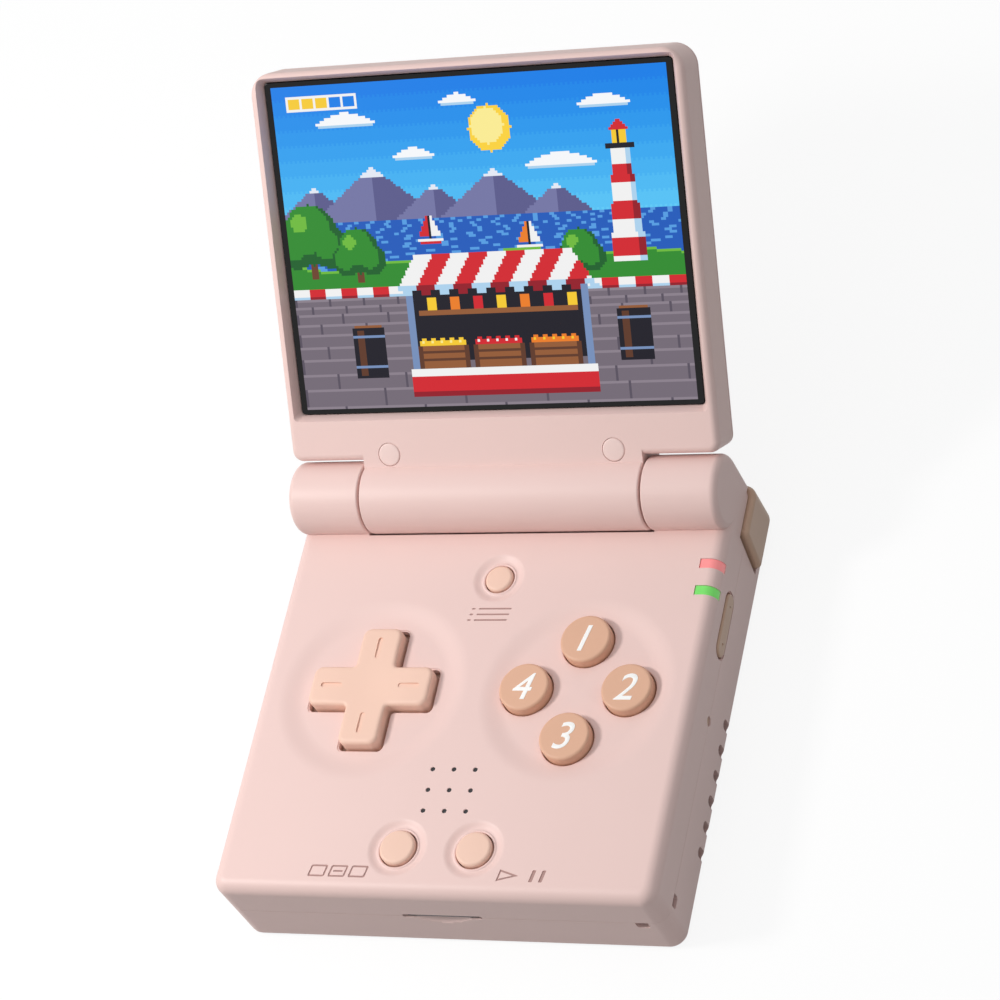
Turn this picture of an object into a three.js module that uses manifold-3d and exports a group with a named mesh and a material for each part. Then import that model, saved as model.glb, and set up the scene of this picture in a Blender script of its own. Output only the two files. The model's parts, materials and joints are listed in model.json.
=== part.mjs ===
// Clamshell handheld game console with its lid open, in millimetres.
// +X is the player's right, +Y the back and +Z up. The origin is the middle of the flat underside.
// The lid's pieces are drawn in the lid's own frame: +Y from the hinge axis to the far edge and
// +Z out of the screen's side. One group then turns them about the hinge.
import * as THREE from "three";
import { mergeVertices } from "three/addons/utils/BufferGeometryUtils.js";
import Module from "manifold-3d";

const wasm = await Module();
wasm.setup();

// Case
const bodyWidth = 85;
const frontToHinge = 79.7; // from the front wall to the hinge axis
const baseHeight = 18.5; // from the underside to the flat top face
const baseCorner = 3; // upright corners
const baseTopEdge = 2.4; // rounding round the top face
const baseLowEdge = 1.2; // rounding round the underside
const partingBelowBoard = 0.9; // joint between the two base shells, under the main board
const partingGap = 0.2;
const sideWall = 1.6;
const floorWall = 1.8;
const topWall = 2.2;
const cavityCorner = 2.5;
const cavityEdge = 0.8;
const fitGap = 0.3; // between pieces that are assembled together
const keyGap = 0.2; // around a round key in its hole
const overrun = 6; // how far a cutting tool runs past what it cuts

// Hinge
const hingeRadius = 6.8;
const hingeRise = 3; // axis above the top face
const knuckleLength = 14.8; // from the side to the lid's part of the barrel
const knuckleEdge = 1.4; // rounding of the knuckles' outer ends
const knuckleLow = 12.5; // lower end of the hinge's square back, inside the base
const barrelEdge = 0.4;
const knuckleGap = 0.3;
const cradleGap = 0.25;
const cradleWall = 1.4;
const reliefDrop = 4.6; // the back wall's top behind the barrel, below the axis
const boreRadius = 4.8;
const boreEnd = 2.4; // wall left at the knuckle's outer end
const cartridgeRadius = 4.5;
const camShaftRadius = 2.5; // across the corners of the hexagon
const camShaftLength = 9.6;
const bushRadius = 4.2;
const bushWall = 1;
const bushReach = 5.6; // length of the bush inside the lid's barrel
const ribbonBoreLength = 17; // hollow part of the barrel at the cable's end

// Lid
const openAngle = 135.4; // between the closed and the drawn lid, in degrees
const lidGap = 0.3; // closed rim above the top face
const lidThickness = 8.7;
const lidNear = 7.5; // from the hinge axis to the lid's near edge
const lidOverhang = 0.2; // closed lid past the front wall
const lidFarCorner = 4.2;
const lidNearCorner = 2;
const lidFrontEdge = 1.3;
const lidBackEdge = 1.3;
const lidCoverThickness = 1.3;
const lidCoverGap = 0.15;
const lidWall = 1.3;
const lidMiddleWall = 1.1;
const lidBackRoom = 1.6; // depth of the room behind the middle wall
const tongueBack = 1; // how far the barrel's root stands behind the bezel's back face
const lipWall = 0.8;
const lipHeight = 0.8;

// Screen
const glassFromSide = 2.5;
const glassNear = 16.2; // near edge from the hinge axis
const glassFromFar = 1.9;
const glassCorner = 1.4;
const glassThickness = 1;
const glassRecess = 1.6; // glass below the rim
const rimDraft = 0.7;
const panelThickness = 1.5;
const bumperRadius = 2.15;
const bumperFromEnd = 5.4; // in from the end of the barrel
const bumperFromHinge = 8.6;
const bumperGap = 0.12;
const bumperProud = 0.15;
const bumperDepth = 1;
const lidScrewHeadRadius = 1.6;
const lidScrewHeadHeight = 0.8;
const lidScrewRadius = 0.8;
const lidScrewLength = 3.6;
const lidBossWall = 0.9;
const magnetWidth = 8;
const magnetLength = 3.6;
const magnetThickness = 1;
const magnetFromSide = 8;
const magnetFromFar = 7;
const ribbonWidth = 7;
const ribbonThickness = 0.3;
const ribbonFromEnd = 11.2;
const ribbonRun = 15; // from the near end of the barrel's bore up behind the screen

// Direction pad
const padFromSide = 22.6;
const padFromHinge = 38.85;
const padArm = 11.9; // half length
const padHalfWidth = 3.95;
const padCorner = 1.1;
const padTop = 1.4; // above the top face
const padEdge = 0.6;
const padGap = 0.45;
const padFlangeRadius = 13.2;
const padFlangeThickness = 1;
const padFlangeDrop = 0.75; // flange below the ceiling
const padMarkLength = 3.6;
const padMarkWidth = 0.45;
const padMarkDepth = 0.3;
const padMarkFrom = 5.4;
const padHollowRadius = 3.3;
const padHollowDepth = 0.35;
const pivotRadius = 2.6;
const pivotThickness = 0.9;
const dishRadius = 18.8;
const dishRamp = 5;
const dishDepth = 0.8;

// Action buttons
const actionFromSide = 22.4;
const actionPitch = 9.8; // from the middle of the four to each
const actionRadius = 4.75;
const actionTop = 1.2;
const actionFlangeRadius = 5.6;

// Menu, select and start buttons
const menuFromHinge = 15.85;
const menuRadius = 2.65;
const menuMoatRadius = 5.2;
const optionX = 7.35;
const optionFromFront = 9.05;
const optionRadius = 3.35;
const optionMoatRadius = 5.85;
const menuTop = 0.12; // low, because the closed lid's rim lies over it
const optionTop = 0.45;
const moatDepth = 0.55;
const lipWidth = 0.6; // raised ring round the key, inside the moat
const lipRise = 0.15;
const smallFlangeWidth = 1.05;

// Keys in general
const keyEdge = 0.4;
const flangeThickness = 1.1;
const stemRadius = 1.9;
const stemLength = 0.6;
const keyTravel = 1;
const membraneThickness = 0.6;
const membraneMargin = 1.2;
const domeRadius = 1.9;
const domeTopRadius = 1.3;
const padDomePitch = 8.2;
const membraneClearance = 0.1; // left between a pressed stem and its dome

// Speaker
const speakerFromFront = 20.55;
const speakerHolePitch = 4.12;
const speakerHoleRadius = 0.4;
const speakerHoleRows = 3;
const speakerRadius = 7.5;
const speakerHeight = 3.4;
const speakerFrameHeight = 1.1;
const speakerMagnetRadius = 4;
const speakerRibWall = 0.7;
const speakerRibHeight = 2;

// Indicator light pipes
const lightReach = 4.2; // window from its inner end to the side
const lightWidth = 2.1;
const redFromHinge = 13.05;
const greenFromHinge = 18.55;
const lightDrop = 2.6; // window's lower end below the top face
const lightSink = 0.25;
const lightLeg = 0.7;

// Side keys
const rockerFromHinge = 21.75;
const rockerAboveParting = 1.3;
const rockerLength = 12.6;
const rockerWidth = 3.4;
const rockerProud = 0.25;
const powerLength = 8.4;
const powerFromHinge = 39.45;
const sideKeyWidth = 3.4;
const sideRecess = 0.5;
const sideRecessMargin = 0.7;
const sideFlangeMargin = 0.9;
const sideFlangeThickness = 0.6;
const sideFlangeGap = 0.5;
const sideKeyEdge = 0.35;
const sideKeyGap = 0.3;
const resetFromHinge = 40.35;
const resetRadius = 0.8;
const resetSunk = 0.25;
const resetFlangeWidth = 0.6;

// Shoulder buttons
const shoulderLow = 2.7;
const shoulderDrop = 6.2; // top below the top face
const shoulderProud = 1.2; // past the side wall
const shoulderBackProud = 0.6; // past the back wall
const shoulderReach = 12.05; // along the side wall from the back
const shoulderFromSide = 16.1; // the outer button's inner end on the back wall
const secondFromSide = 32.3; // the second button's inner end
const shoulderBetween = 0.8;
const shoulderWall = 2;
const shoulderCorner = 2.8;
const shoulderEdge = 0.7;
const shoulderEndCorner = 0.9;
const shoulderTravelGap = 0.8;
const hubRadius = 1.9;
const hubDrop = 2; // hub below the button's top
const lugHeight = 4.2;
const hubFromBack = 2.9; // hub's axis in front of the back wall
const trunnionRadius = 1.2;
const trunnionLength = 0.7;
const socketDepth = 0.65;
const switchBoardThickness = 1;
const switchBoardDrop = 0.6; // below the joint of the shells
const switchPressGap = 0.5; // between a switch and its button, at rest
const switchWidth = 5;
const switchHeight = 3.4;
const switchDepth = 2.4;
const switchTipRadius = 1;
const switchTipDepth = 1.5;

// Main board and what is on it
const boardThickness = 1;
const domeHeight = 0.4;
const boardSideGap = 2;
const boardFrontGap = 1.2;
const boardFromHinge = 12.45;
const boardTongueWidth = 17;
const boardTongueGap = 1.25;
const boardCorner = 1.5;
const boardHoleGap = 0.7;
const chipSize = 12;
const chipHeight = 0.9;
const memoryWidth = 8;
const memoryLength = 10;
const chipX = 14;
const chipFromBack = 8.5;
const socketWidth = 14.4;
const socketLength = 12.6;
const socketHeight = 1.7;
const socketSide = 1;
const cardWidth = 11;
const cardLength = 15;
const cardThickness = 0.7;
const cardSunk = 0.6;
const cardSlotWidth = 15.4;
const cardSlotHeight = 1.1;
const scoopDrop = 2.6;
const scoopDepth = 1.1;
const usbWidth = 9;
const usbHeight = 3.2;
const usbLength = 7.3;
const usbWall = 0.35;
const usbDepth = 6.2;
const usbTongueWidth = 6.4;
const usbTongueHeight = 0.7;
const usbTongueLength = 4.6;
const usbSunk = 0.15;
const jackFromHinge = 24.25;
const jackBelowBoard = 2.9;
const jackLength = 10.6;
const jackWidth = 6.2;
const jackDepth = 4.9;
const jackCollarRadius = 2.7;
const jackBoreRadius = 1.8;
const jackBoreDepth = 10;

// Battery
const batteryWidth = 56;
const batteryLength = 38;
const batteryHeadroom = 3.4; // between the battery and the board
const batteryFromFront = 32.25; // to its middle
const batteryCorner = 2;
const batteryRibWall = 0.8;
const batteryRibHeight = 2.4;

// Case screws
const frontScrewFromSide = 11.5;
const backScrewFromSide = 9;
const frontScrewFromFront = 5.25;
const backScrewFromBack = 15.75;
const screwRadius = 1;
const screwHeadRadius = 2;
const screwHeadHeight = 1.1;
const screwHeadSunk = 0.4;
const screwTipGap = 2.4; // to the ceiling
const screwRecessLength = 2.2;
const screwRecessWidth = 0.55;
const screwRecessDepth = 0.6;
const bossRadius = 3;
const postRadius = 2.5;

// Lanyard eye at the front right corner
const eyeFromSide = 5; // middle of the opening in the front wall
const eyeFromFront = 4.7; // middle of the opening in the side wall
const eyeWidth = 2.5;
const eyeHeight = 3.2;
const eyeBlockWall = 1.4;

// Air slots along the lower side edges
const ventCount = 6;
const ventPitch = 5.05;
const ventFromFront = 31.25; // to the middle of the row
const ventWidth = 2.3;
const ventHeight = 2.9;
const ventReach = 6.4; // slot's length on the underside

// Worked out from the sizes above
const halfWidth = bodyWidth / 2;
const baseDepth = frontToHinge + hingeRadius;
const halfDepth = baseDepth / 2;
const hingeY = halfDepth - hingeRadius;
const hingeZ = baseHeight + hingeRise;
const ceiling = baseHeight - topWall;
const cavityX = halfWidth - sideWall;
const cavityY = halfDepth - sideWall;
const barrelHalf = halfWidth - knuckleLength;
const knuckleStart = barrelHalf + knuckleGap;
const cradleRadius = hingeRadius + cradleGap;
const lidFar = frontToHinge + lidOverhang;
const lidFace = hingeRise - lidGap;
const lidBack = lidFace - lidThickness;
const lidSplit = lidBack + lidCoverThickness + lidCoverGap;
const middleLow = lidSplit + lidBackRoom;
const middleHigh = middleLow + lidMiddleWall;
const glassTop = lidFace - glassRecess;
const boardHalf = cavityX - boardSideGap;
const flangeHigh = ceiling - fitGap;
const stemLow = flangeHigh - flangeThickness - stemLength;
const domeHigh = stemLow - keyTravel - membraneClearance;
const membraneLow = domeHigh - domeHeight - membraneThickness;
const boardHigh = membraneLow - fitGap;
const boardLow = boardHigh - boardThickness;
const partingHeight = boardLow - partingBelowBoard;
const upperLow = partingHeight + partingGap / 2;
const lowerHigh = partingHeight - partingGap / 2;
const shoulderBack = halfDepth + shoulderBackProud;
const hubY = halfDepth - hubFromBack;
const usbZ = boardLow - fitGap - usbHeight / 2;
const glassWidth = bodyWidth - 2 * glassFromSide;
const glassFar = lidFar - glassFromFar;
const bumperX = barrelHalf - bumperFromEnd;
const ribbonX = barrelHalf - ribbonFromEnd;
const padX = halfWidth - padFromSide;
const padY = hingeY - padFromHinge;
const actionX = halfWidth - actionFromSide;
const actionY = padY;
const menuY = hingeY - menuFromHinge;
const optionY = optionFromFront - halfDepth;
const speakerY = speakerFromFront - halfDepth;
const lightInner = halfWidth - lightReach;
const lightY = [hingeY - redFromHinge, hingeY - greenFromHinge];
const rockerY = hingeY - rockerFromHinge;
const rockerHeight = partingHeight + rockerAboveParting;
const powerY = hingeY - powerFromHinge;
const resetY = hingeY - resetFromHinge;
const shoulderHigh = baseHeight - shoulderDrop;
const shoulderFront = halfDepth - shoulderReach;
const shoulderInner = halfWidth - shoulderFromSide;
const shoulderSecondInner = halfWidth - secondFromSide;
const hubHigh = shoulderHigh - hubDrop;
const switchBoardLow = floorWall + fitGap;
const switchBoardHigh = lowerHigh - switchBoardDrop;
const boardBack = hingeY - boardFromHinge;
const boardTongueBack = cavityY - boardTongueGap;
const chipY = boardBack - chipFromBack;
const jackY = hingeY - jackFromHinge;
const jackHeight = boardLow - jackBelowBoard;
const batteryLow = floorWall + fitGap;
const batteryHigh = boardLow - batteryHeadroom;
const batteryY = batteryFromFront - halfDepth;
const screwX = [halfWidth - frontScrewFromSide, halfWidth - backScrewFromSide];
const screwY = [frontScrewFromFront - halfDepth, halfDepth - backScrewFromBack];
const screwHigh = ceiling - screwTipGap;
const eyeX = halfWidth - eyeFromSide;
const ventY = ventFromFront - halfDepth;
const screwPlaces = [0, 1].flatMap((i) => [-1, 1].map((side) => [side * screwX[i], screwY[i]]));
const ventPlaces = Array.from(
  { length: ventCount },
  (_, i) => ventY + (i - (ventCount - 1) / 2) * ventPitch,
);

// Smoothness of the round forms
const roundSteps = 24;
const smallSteps = 16;
const tinySteps = 8;
const hexagonSides = 6;
const cornerSteps = 4;
const barrelSteps = 18;
const edgeSteps = 2;
const wideEdgeSteps = 4;
const dishStepShare = 1.7;
const quarter = Math.PI / 2;

// Booleans on closed geometries
function solidOf(geometry) {
  const bare = new THREE.BufferGeometry();
  const source = geometry.index ? geometry.toNonIndexed() : geometry;
  bare.setAttribute("position", source.getAttribute("position"));
  const merged = mergeVertices(bare);
  const kept = [];
  const { array } = merged.index;
  for (let i = 0; i < array.length; i += 3) {
    const [a, b, c] = array.slice(i, i + 3);
    if (a !== b && b !== c && a !== c) kept.push(a, b, c);
  }
  const vertProperties = new Float32Array(merged.attributes.position.array);
  const triVerts = new Uint32Array(kept);
  return new wasm.Manifold(new wasm.Mesh({ numProp: 3, vertProperties, triVerts }));
}

function geometryOf(solid) {
  const mesh = solid.getMesh();
  const positions = new Float32Array(mesh.numVert * 3);
  for (let i = 0; i < mesh.numVert; i += 1) {
    const start = i * mesh.numProp;
    positions.set(mesh.vertProperties.subarray(start, start + 3), i * 3);
  }
  const geometry = new THREE.BufferGeometry();
  geometry.setAttribute("position", new THREE.BufferAttribute(positions, 3));
  geometry.setIndex(new THREE.BufferAttribute(new Uint32Array(mesh.triVerts), 1));
  geometry.computeVertexNormals();
  return geometry;
}

function join(first, ...others) {
  return geometryOf(others.flat().reduce((sum, g) => sum.add(solidOf(g)), solidOf(first)));
}

function cut(first, ...tools) {
  return geometryOf(tools.flat().reduce((rest, g) => rest.subtract(solidOf(g)), solidOf(first)));
}

function common(first, second) {
  return geometryOf(solidOf(first).intersect(solidOf(second)));
}

// Outlines
function arc(x, y, radius, from, to, steps = cornerSteps) {
  return Array.from({ length: steps + 1 }, (_, i) => {
    const angle = from + ((to - from) * i) / steps;
    return new THREE.Vector2(x + radius * Math.cos(angle), y + radius * Math.sin(angle));
  });
}

function roundedRect(left, right, low, high, radius, highRadius = radius) {
  return new THREE.Shape([
    ...arc(right - radius, low + radius, radius, -quarter, 0),
    ...arc(right - highRadius, high - highRadius, highRadius, 0, quarter),
    ...arc(left + highRadius, high - highRadius, highRadius, quarter, 2 * quarter),
    ...arc(left + radius, low + radius, radius, 2 * quarter, 3 * quarter),
  ]);
}

function stadium(x, y, length, width) {
  const radius = width / 2;
  const reach = length / 2 - radius;
  return new THREE.Shape([
    ...arc(x + reach, y, radius, -quarter, quarter, 2 * cornerSteps),
    ...arc(x - reach, y, radius, quarter, 3 * quarter, 2 * cornerSteps),
  ]);
}

function circle(x, y, radius, steps = roundSteps) {
  return new THREE.Shape(arc(x, y, radius, 0, 4 * quarter, steps).slice(1));
}

// Four equal arms with rounded outer corners
function cross(x, y, reach, half, radius) {
  const inner = reach - radius;
  const side = half - radius;
  const points = [0, 1, 2, 3].flatMap((turn) =>
    [
      new THREE.Vector2(half, -half),
      ...arc(inner, -side, radius, -quarter, 0, edgeSteps),
      ...arc(inner, side, radius, 0, quarter, edgeSteps),
    ].map((p) => p.rotateAround(new THREE.Vector2(), turn * quarter)),
  );
  return new THREE.Shape(points.map((p) => p.add(new THREE.Vector2(x, y))));
}

// Solids
function extrude(shape, low, high, edge = 0, steps = edgeSteps) {
  const geometry = new THREE.ExtrudeGeometry(shape, {
    depth: high - low - 2 * edge,
    bevelEnabled: edge > 0,
    bevelThickness: edge,
    bevelSize: edge,
    bevelOffset: -edge,
    bevelSegments: steps,
  });
  return geometry.translate(0, 0, low + edge);
}

// An outline in X and Y, between two heights
function slab(shape, low, high, edge, steps) {
  return extrude(shape, low, high, edge, steps);
}

// An outline in Y and Z, between two places on X
function alongX(shape, low, high, edge, steps) {
  const axes = new THREE.Matrix4().makeBasis(
    new THREE.Vector3(0, 1, 0),
    new THREE.Vector3(0, 0, 1),
    new THREE.Vector3(1, 0, 0),
  );
  return extrude(shape, low, high, edge, steps).applyMatrix4(axes);
}

// An outline in Z and X, between two places on Y
function alongY(shape, low, high, edge) {
  const axes = new THREE.Matrix4().makeBasis(
    new THREE.Vector3(0, 0, 1),
    new THREE.Vector3(1, 0, 0),
    new THREE.Vector3(0, 1, 0),
  );
  return extrude(shape, low, high, edge).applyMatrix4(axes);
}

function box(left, right, front, back, low, high) {
  const geometry = new THREE.BoxGeometry(right - left, back - front, high - low);
  return geometry.translate((left + right) / 2, (front + back) / 2, (low + high) / 2);
}

function post(x, y, radius, low, high, steps = smallSteps) {
  return slab(circle(x, y, radius, steps), low, high);
}

// A profile of radius and height turned about an upright axis
function turned(points, x, y, steps = roundSteps) {
  const profile = points.map(([radius, height]) => new THREE.Vector2(radius, height));
  return new THREE.LatheGeometry(profile, steps).rotateX(quarter).translate(x, y, 0);
}

function smoothRamp(share) {
  return (1 - Math.cos(Math.PI * share)) / 2;
}

// Everything below, or above, a height
function below(height) {
  const reach = 2 * baseDepth;
  return box(-reach, reach, -reach, reach, height - reach, height);
}

function above(height) {
  const reach = 2 * baseDepth;
  return box(-reach, reach, -reach, reach, height, height + reach);
}

// The same form on the other side of the console
function mirrored(geometry) {
  return geometryOf(solidOf(geometry).mirror([1, 0, 0]));
}

// Finishes
function plastic(color, roughness = 0.55) {
  return new THREE.MeshStandardMaterial({ color, roughness, metalness: 0 });
}

function metal(color, roughness = 0.35) {
  return new THREE.MeshStandardMaterial({ color, roughness, metalness: 1 });
}

const shellPink = 0xeccdc7;
const padPeach = 0xf0cdb6;
const keyTan = 0xdead8f;
const shoulderTan = 0xc9a68e;
const rubberGrey = 0x8d8a88;

// Base shells
function baseBlock() {
  const plan = roundedRect(-halfWidth, halfWidth, -halfDepth, halfDepth, baseCorner);
  const round = circle(hingeY, hingeZ, hingeRadius, 2 * barrelSteps);
  const back = roundedRect(-halfWidth, halfWidth, hingeY, halfDepth, knuckleEdge);
  return join(
    common(
      slab(plan, -baseTopEdge, baseHeight, baseTopEdge, wideEdgeSteps),
      slab(plan, 0, 2 * baseHeight, baseLowEdge),
    ),
    alongX(round, -halfWidth, halfWidth, knuckleEdge, wideEdgeSteps),
    slab(back, knuckleLow, hingeZ),
  );
}

function baseCavity() {
  const plan = roundedRect(-cavityX, cavityX, -cavityY, cavityY, cavityCorner);
  const room = slab(plan, floorWall, ceiling, cavityEdge);
  const cradle = circle(hingeY, hingeZ, cradleRadius + cradleWall);
  return cut(room, alongX(cradle, -bodyWidth, bodyWidth));
}

// Round the hinge: room for the lid's barrel, and a bore in each knuckle
function hingeCuts() {
  const boreHigh = halfWidth - boreEnd;
  const bore = circle(hingeY, hingeZ, boreRadius);
  return [
    alongX(circle(hingeY, hingeZ, cradleRadius, 2 * roundSteps), -knuckleStart, knuckleStart),
    box(-knuckleStart, knuckleStart, hingeY, hingeY + bodyWidth, hingeZ - reliefDrop, bodyWidth),
    alongX(bore, knuckleStart - overrun, boreHigh),
    alongX(bore, -boreHigh, overrun - knuckleStart),
  ];
}

function dish(x, y) {
  const flat = dishRadius - dishRamp;
  const steps = cornerSteps + 1;
  const ramp = Array.from({ length: steps + 1 }, (_, i) => [
    flat + (dishRamp * i) / steps,
    baseHeight - dishDepth * (1 - smoothRamp(i / steps)),
  ]);
  const high = baseHeight + overrun;
  const points = [[0, baseHeight - dishDepth], ...ramp, [dishRadius, high], [0, high]];
  return turned(points, x, y, Math.round(roundSteps * dishStepShare));
}

// A round dish about a key, with a low ring round the key's hole
function moat(x, y, keyRadius, radius) {
  const hole = keyRadius + keyGap;
  const inner = hole + lipWidth;
  const floor = baseHeight - moatDepth;
  const steps = cornerSteps + 1;
  const ramp = Array.from({ length: steps + 1 }, (_, i) => [
    inner + ((radius - inner) * i) / steps,
    floor + moatDepth * smoothRamp(i / steps),
  ]);
  const high = baseHeight + overrun;
  const ring = [
    [0, floor + lipRise],
    [hole, floor + lipRise],
  ];
  return turned([...ring, ...ramp, [radius, high], [0, high]], x, y);
}

const actionPlaces = [0, 1, 2, 3].map((turn) => [
  actionX + actionPitch * Math.round(Math.sin(turn * quarter)),
  actionY + actionPitch * Math.round(Math.cos(turn * quarter)),
]);

function keyHole(x, y, radius) {
  return post(x, y, radius + keyGap, ceiling - overrun, baseHeight + overrun, roundSteps);
}

function speakerHoles() {
  const middle = (speakerHoleRows - 1) / 2;
  const rows = Array.from({ length: speakerHoleRows }, (_, i) => (i - middle) * speakerHolePitch);
  return rows.flatMap((x) =>
    rows.map((y) => post(x, speakerY + y, speakerHoleRadius, ceiling - overrun, bodyWidth, tinySteps)),
  );
}

function lightSlot(y, gap) {
  const half = lightWidth / 2 + gap;
  const low = baseHeight - lightDrop - gap;
  return box(lightInner - gap, halfWidth + overrun, y - half, y + half, low, baseHeight + overrun);
}

// A stadium hole in a side wall with a shallow recess round it. Side is 1 or -1.
function sideOpening(side, y, height, length, width) {
  const margin = 2 * sideRecessMargin;
  const hole = stadium(y, height, length + 2 * sideKeyGap, width + 2 * sideKeyGap);
  const recess = stadium(y, height, length + margin, width + margin);
  const recessEnds = [side * (halfWidth - sideRecess), side * (halfWidth + overrun)];
  const holeEnds = [side * (cavityX - overrun / 2), side * (halfWidth + overrun)];
  return [
    alongX(recess, Math.min(...recessEnds), Math.max(...recessEnds)),
    alongX(hole, Math.min(...holeEnds), Math.max(...holeEnds)),
  ];
}

// Plan of the two pockets in one rear corner, on the right
function shoulderPocket(gap) {
  const low = shoulderLow - gap;
  const high = shoulderHigh + gap;
  const back = halfDepth + overrun;
  const inside = hubY - hubRadius - gap;
  return [
    box(shoulderSecondInner - gap, halfWidth + overrun, inside, back, low, hubHigh + gap),
    box(shoulderSecondInner - gap, halfWidth + overrun, cavityY - gap, back, low, high),
    box(
      cavityX - overrun / 2,
      halfWidth + overrun,
      shoulderFront - shoulderTravelGap,
      back,
      low,
      high,
    ),
  ];
}

function hubPlaces() {
  return [shoulderInner, shoulderSecondInner].map((inner) => inner + hubRadius);
}

function cardSlot() {
  const low = partingHeight - cardSlotHeight / 2;
  const half = cardSlotWidth / 2;
  const wall = -cavityY + overrun / 2;
  return box(-half, half, -halfDepth - overrun, wall, low, low + cardSlotHeight);
}

// Fingernail recess below the card slot
function cardScoop() {
  const half = cardSlotWidth / 2;
  const radius = (half * half + scoopDrop * scoopDrop) / (2 * scoopDrop);
  const middle = lowerHigh - scoopDrop + radius;
  const disc = circle(middle, 0, radius, 3 * roundSteps);
  const run = alongY(disc, -halfDepth - overrun, -halfDepth + scoopDepth);
  return common(run, box(-half, half, -bodyWidth, 0, 0, lowerHigh + overrun));
}

function usbOpening() {
  const hole = stadium(0, 0, usbWidth + 2 * fitGap, usbHeight + 2 * fitGap);
  const run = slab(hole, cavityY - overrun / 2, halfDepth + overrun);
  return run.rotateX(-quarter).translate(0, 0, usbZ);
}

function jackOpening() {
  const hole = circle(jackY, jackHeight, jackCollarRadius + fitGap);
  return alongX(hole, -halfWidth - overrun, -cavityX + overrun / 2);
}

function resetOpening() {
  const hole = circle(resetY, partingHeight, resetRadius + keyGap, smallSteps);
  return alongX(hole, cavityX - overrun / 2, halfWidth + overrun);
}

// What both shells share along their joint
function sharedOpenings() {
  return [
    ...sideOpening(1, rockerY, rockerHeight, rockerLength, rockerWidth),
    ...sideOpening(-1, powerY, rockerHeight, powerLength, sideKeyWidth),
    ...shoulderPocket(fitGap),
    ...shoulderPocket(fitGap).map(mirrored),
    cardSlot(),
    usbOpening(),
    jackOpening(),
    resetOpening(),
  ];
}

function speakerRib() {
  const inner = speakerRadius + fitGap;
  const low = ceiling - speakerRibHeight;
  const ring = post(0, speakerY, inner + speakerRibWall, low, ceiling + topWall / 2, roundSteps);
  return cut(ring, post(0, speakerY, inner, low - overrun, ceiling, roundSteps));
}

function baseTopShell() {
  const hollow = cut(baseBlock(), below(upperLow), baseCavity());
  const posts = screwPlaces.map(([x, y]) => post(x, y, postRadius, upperLow, ceiling + topWall / 2));
  const bores = screwPlaces.map(([x, y]) =>
    post(x, y, screwRadius + fitGap, upperLow - overrun, ceiling),
  );
  const lugLow = hubHigh + fitGap;
  const lugs = hubPlaces().map((x) =>
    box(x - hubRadius, x + hubRadius, hubY - hubRadius, cavityY, lugLow, lugLow + lugHeight),
  );
  const sockets = hubPlaces().map((x) =>
    post(x, hubY, trunnionRadius + fitGap, lugLow - fitGap, lugLow + socketDepth),
  );
  return cut(
    join(hollow, posts, speakerRib(), lugs, lugs.map(mirrored)),
    bores,
    hingeCuts(),
    dish(-padX, padY),
    dish(actionX, actionY),
    slab(
      cross(-padX, padY, padArm + padGap, padHalfWidth + padGap, padCorner),
      ceiling - overrun / 2,
      baseHeight + overrun,
    ),
    actionPlaces.map(([x, y]) => keyHole(x, y, actionRadius)),
    moat(0, menuY, menuRadius, menuMoatRadius),
    keyHole(0, menuY, menuRadius),
    [-1, 1].flatMap((side) => [
      moat(side * optionX, optionY, optionRadius, optionMoatRadius),
      keyHole(side * optionX, optionY, optionRadius),
    ]),
    speakerHoles(),
    lightY.map((y) => lightSlot(y, 0)),
    sharedOpenings(),
    sockets,
    sockets.map(mirrored),
  );
}

// Solid corner with an L-shaped tunnel for a lanyard
function eyeBlock() {
  const y = -halfDepth + eyeFromFront;
  const reach = eyeWidth / 2 + eyeBlockWall;
  return box(eyeX - reach, cavityX + sideWall / 2, -cavityY - sideWall / 2, y + reach, 0, lowerHigh);
}

function eyeTunnel() {
  const y = -halfDepth + eyeFromFront;
  const half = eyeWidth / 2;
  const low = lowerHigh - eyeHeight;
  const high = lowerHigh + partingGap;
  return [
    box(eyeX - half, eyeX + half, -halfDepth - overrun, y + half, low, high),
    box(eyeX - half, halfWidth + overrun, y - half, y + half, low, high),
  ];
}

function vents(side) {
  const inner = halfWidth - ventReach;
  return ventPlaces.map((y) => {
    const plan = stadium(inner + halfWidth / 2, y, halfWidth, ventWidth);
    const slot = slab(plan, -overrun, ventHeight);
    return side > 0 ? slot : mirrored(cut(slot, above(ventHeight)));
  });
}

function batteryRib() {
  const x = batteryWidth / 2 + fitGap;
  const y = batteryLength / 2 + fitGap;
  const outer = batteryRibWall;
  const low = floorWall / 2;
  const high = floorWall + batteryRibHeight;
  return cut(
    box(-x - outer, x + outer, batteryY - y - outer, batteryY + y + outer, low, high),
    box(-x, x, batteryY - y, batteryY + y, 0, high + overrun),
  );
}

function baseBottomShell() {
  const hollow = cut(baseBlock(), above(lowerHigh), baseCavity());
  const bosses = screwPlaces.map(([x, y]) => post(x, y, bossRadius, floorWall / 2, lowerHigh));
  const block = common(eyeBlock(), baseBlock());
  const bores = screwPlaces.flatMap(([x, y]) => [
    post(x, y, screwRadius + fitGap, -overrun, lowerHigh + overrun),
    post(
      x,
      y,
      screwHeadRadius + fitGap,
      -overrun,
      screwHeadSunk + screwHeadHeight + fitGap,
      roundSteps,
    ),
  ]);
  const sockets = hubPlaces().map((x) =>
    post(x, hubY, trunnionRadius + fitGap, floorWall - socketDepth, floorWall + overrun / 2),
  );
  return cut(
    join(hollow, bosses, block, batteryRib()),
    bores,
    eyeTunnel(),
    vents(1),
    vents(-1),
    cardScoop(),
    sharedOpenings(),
    sockets,
    sockets.map(mirrored),
  );
}

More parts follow.
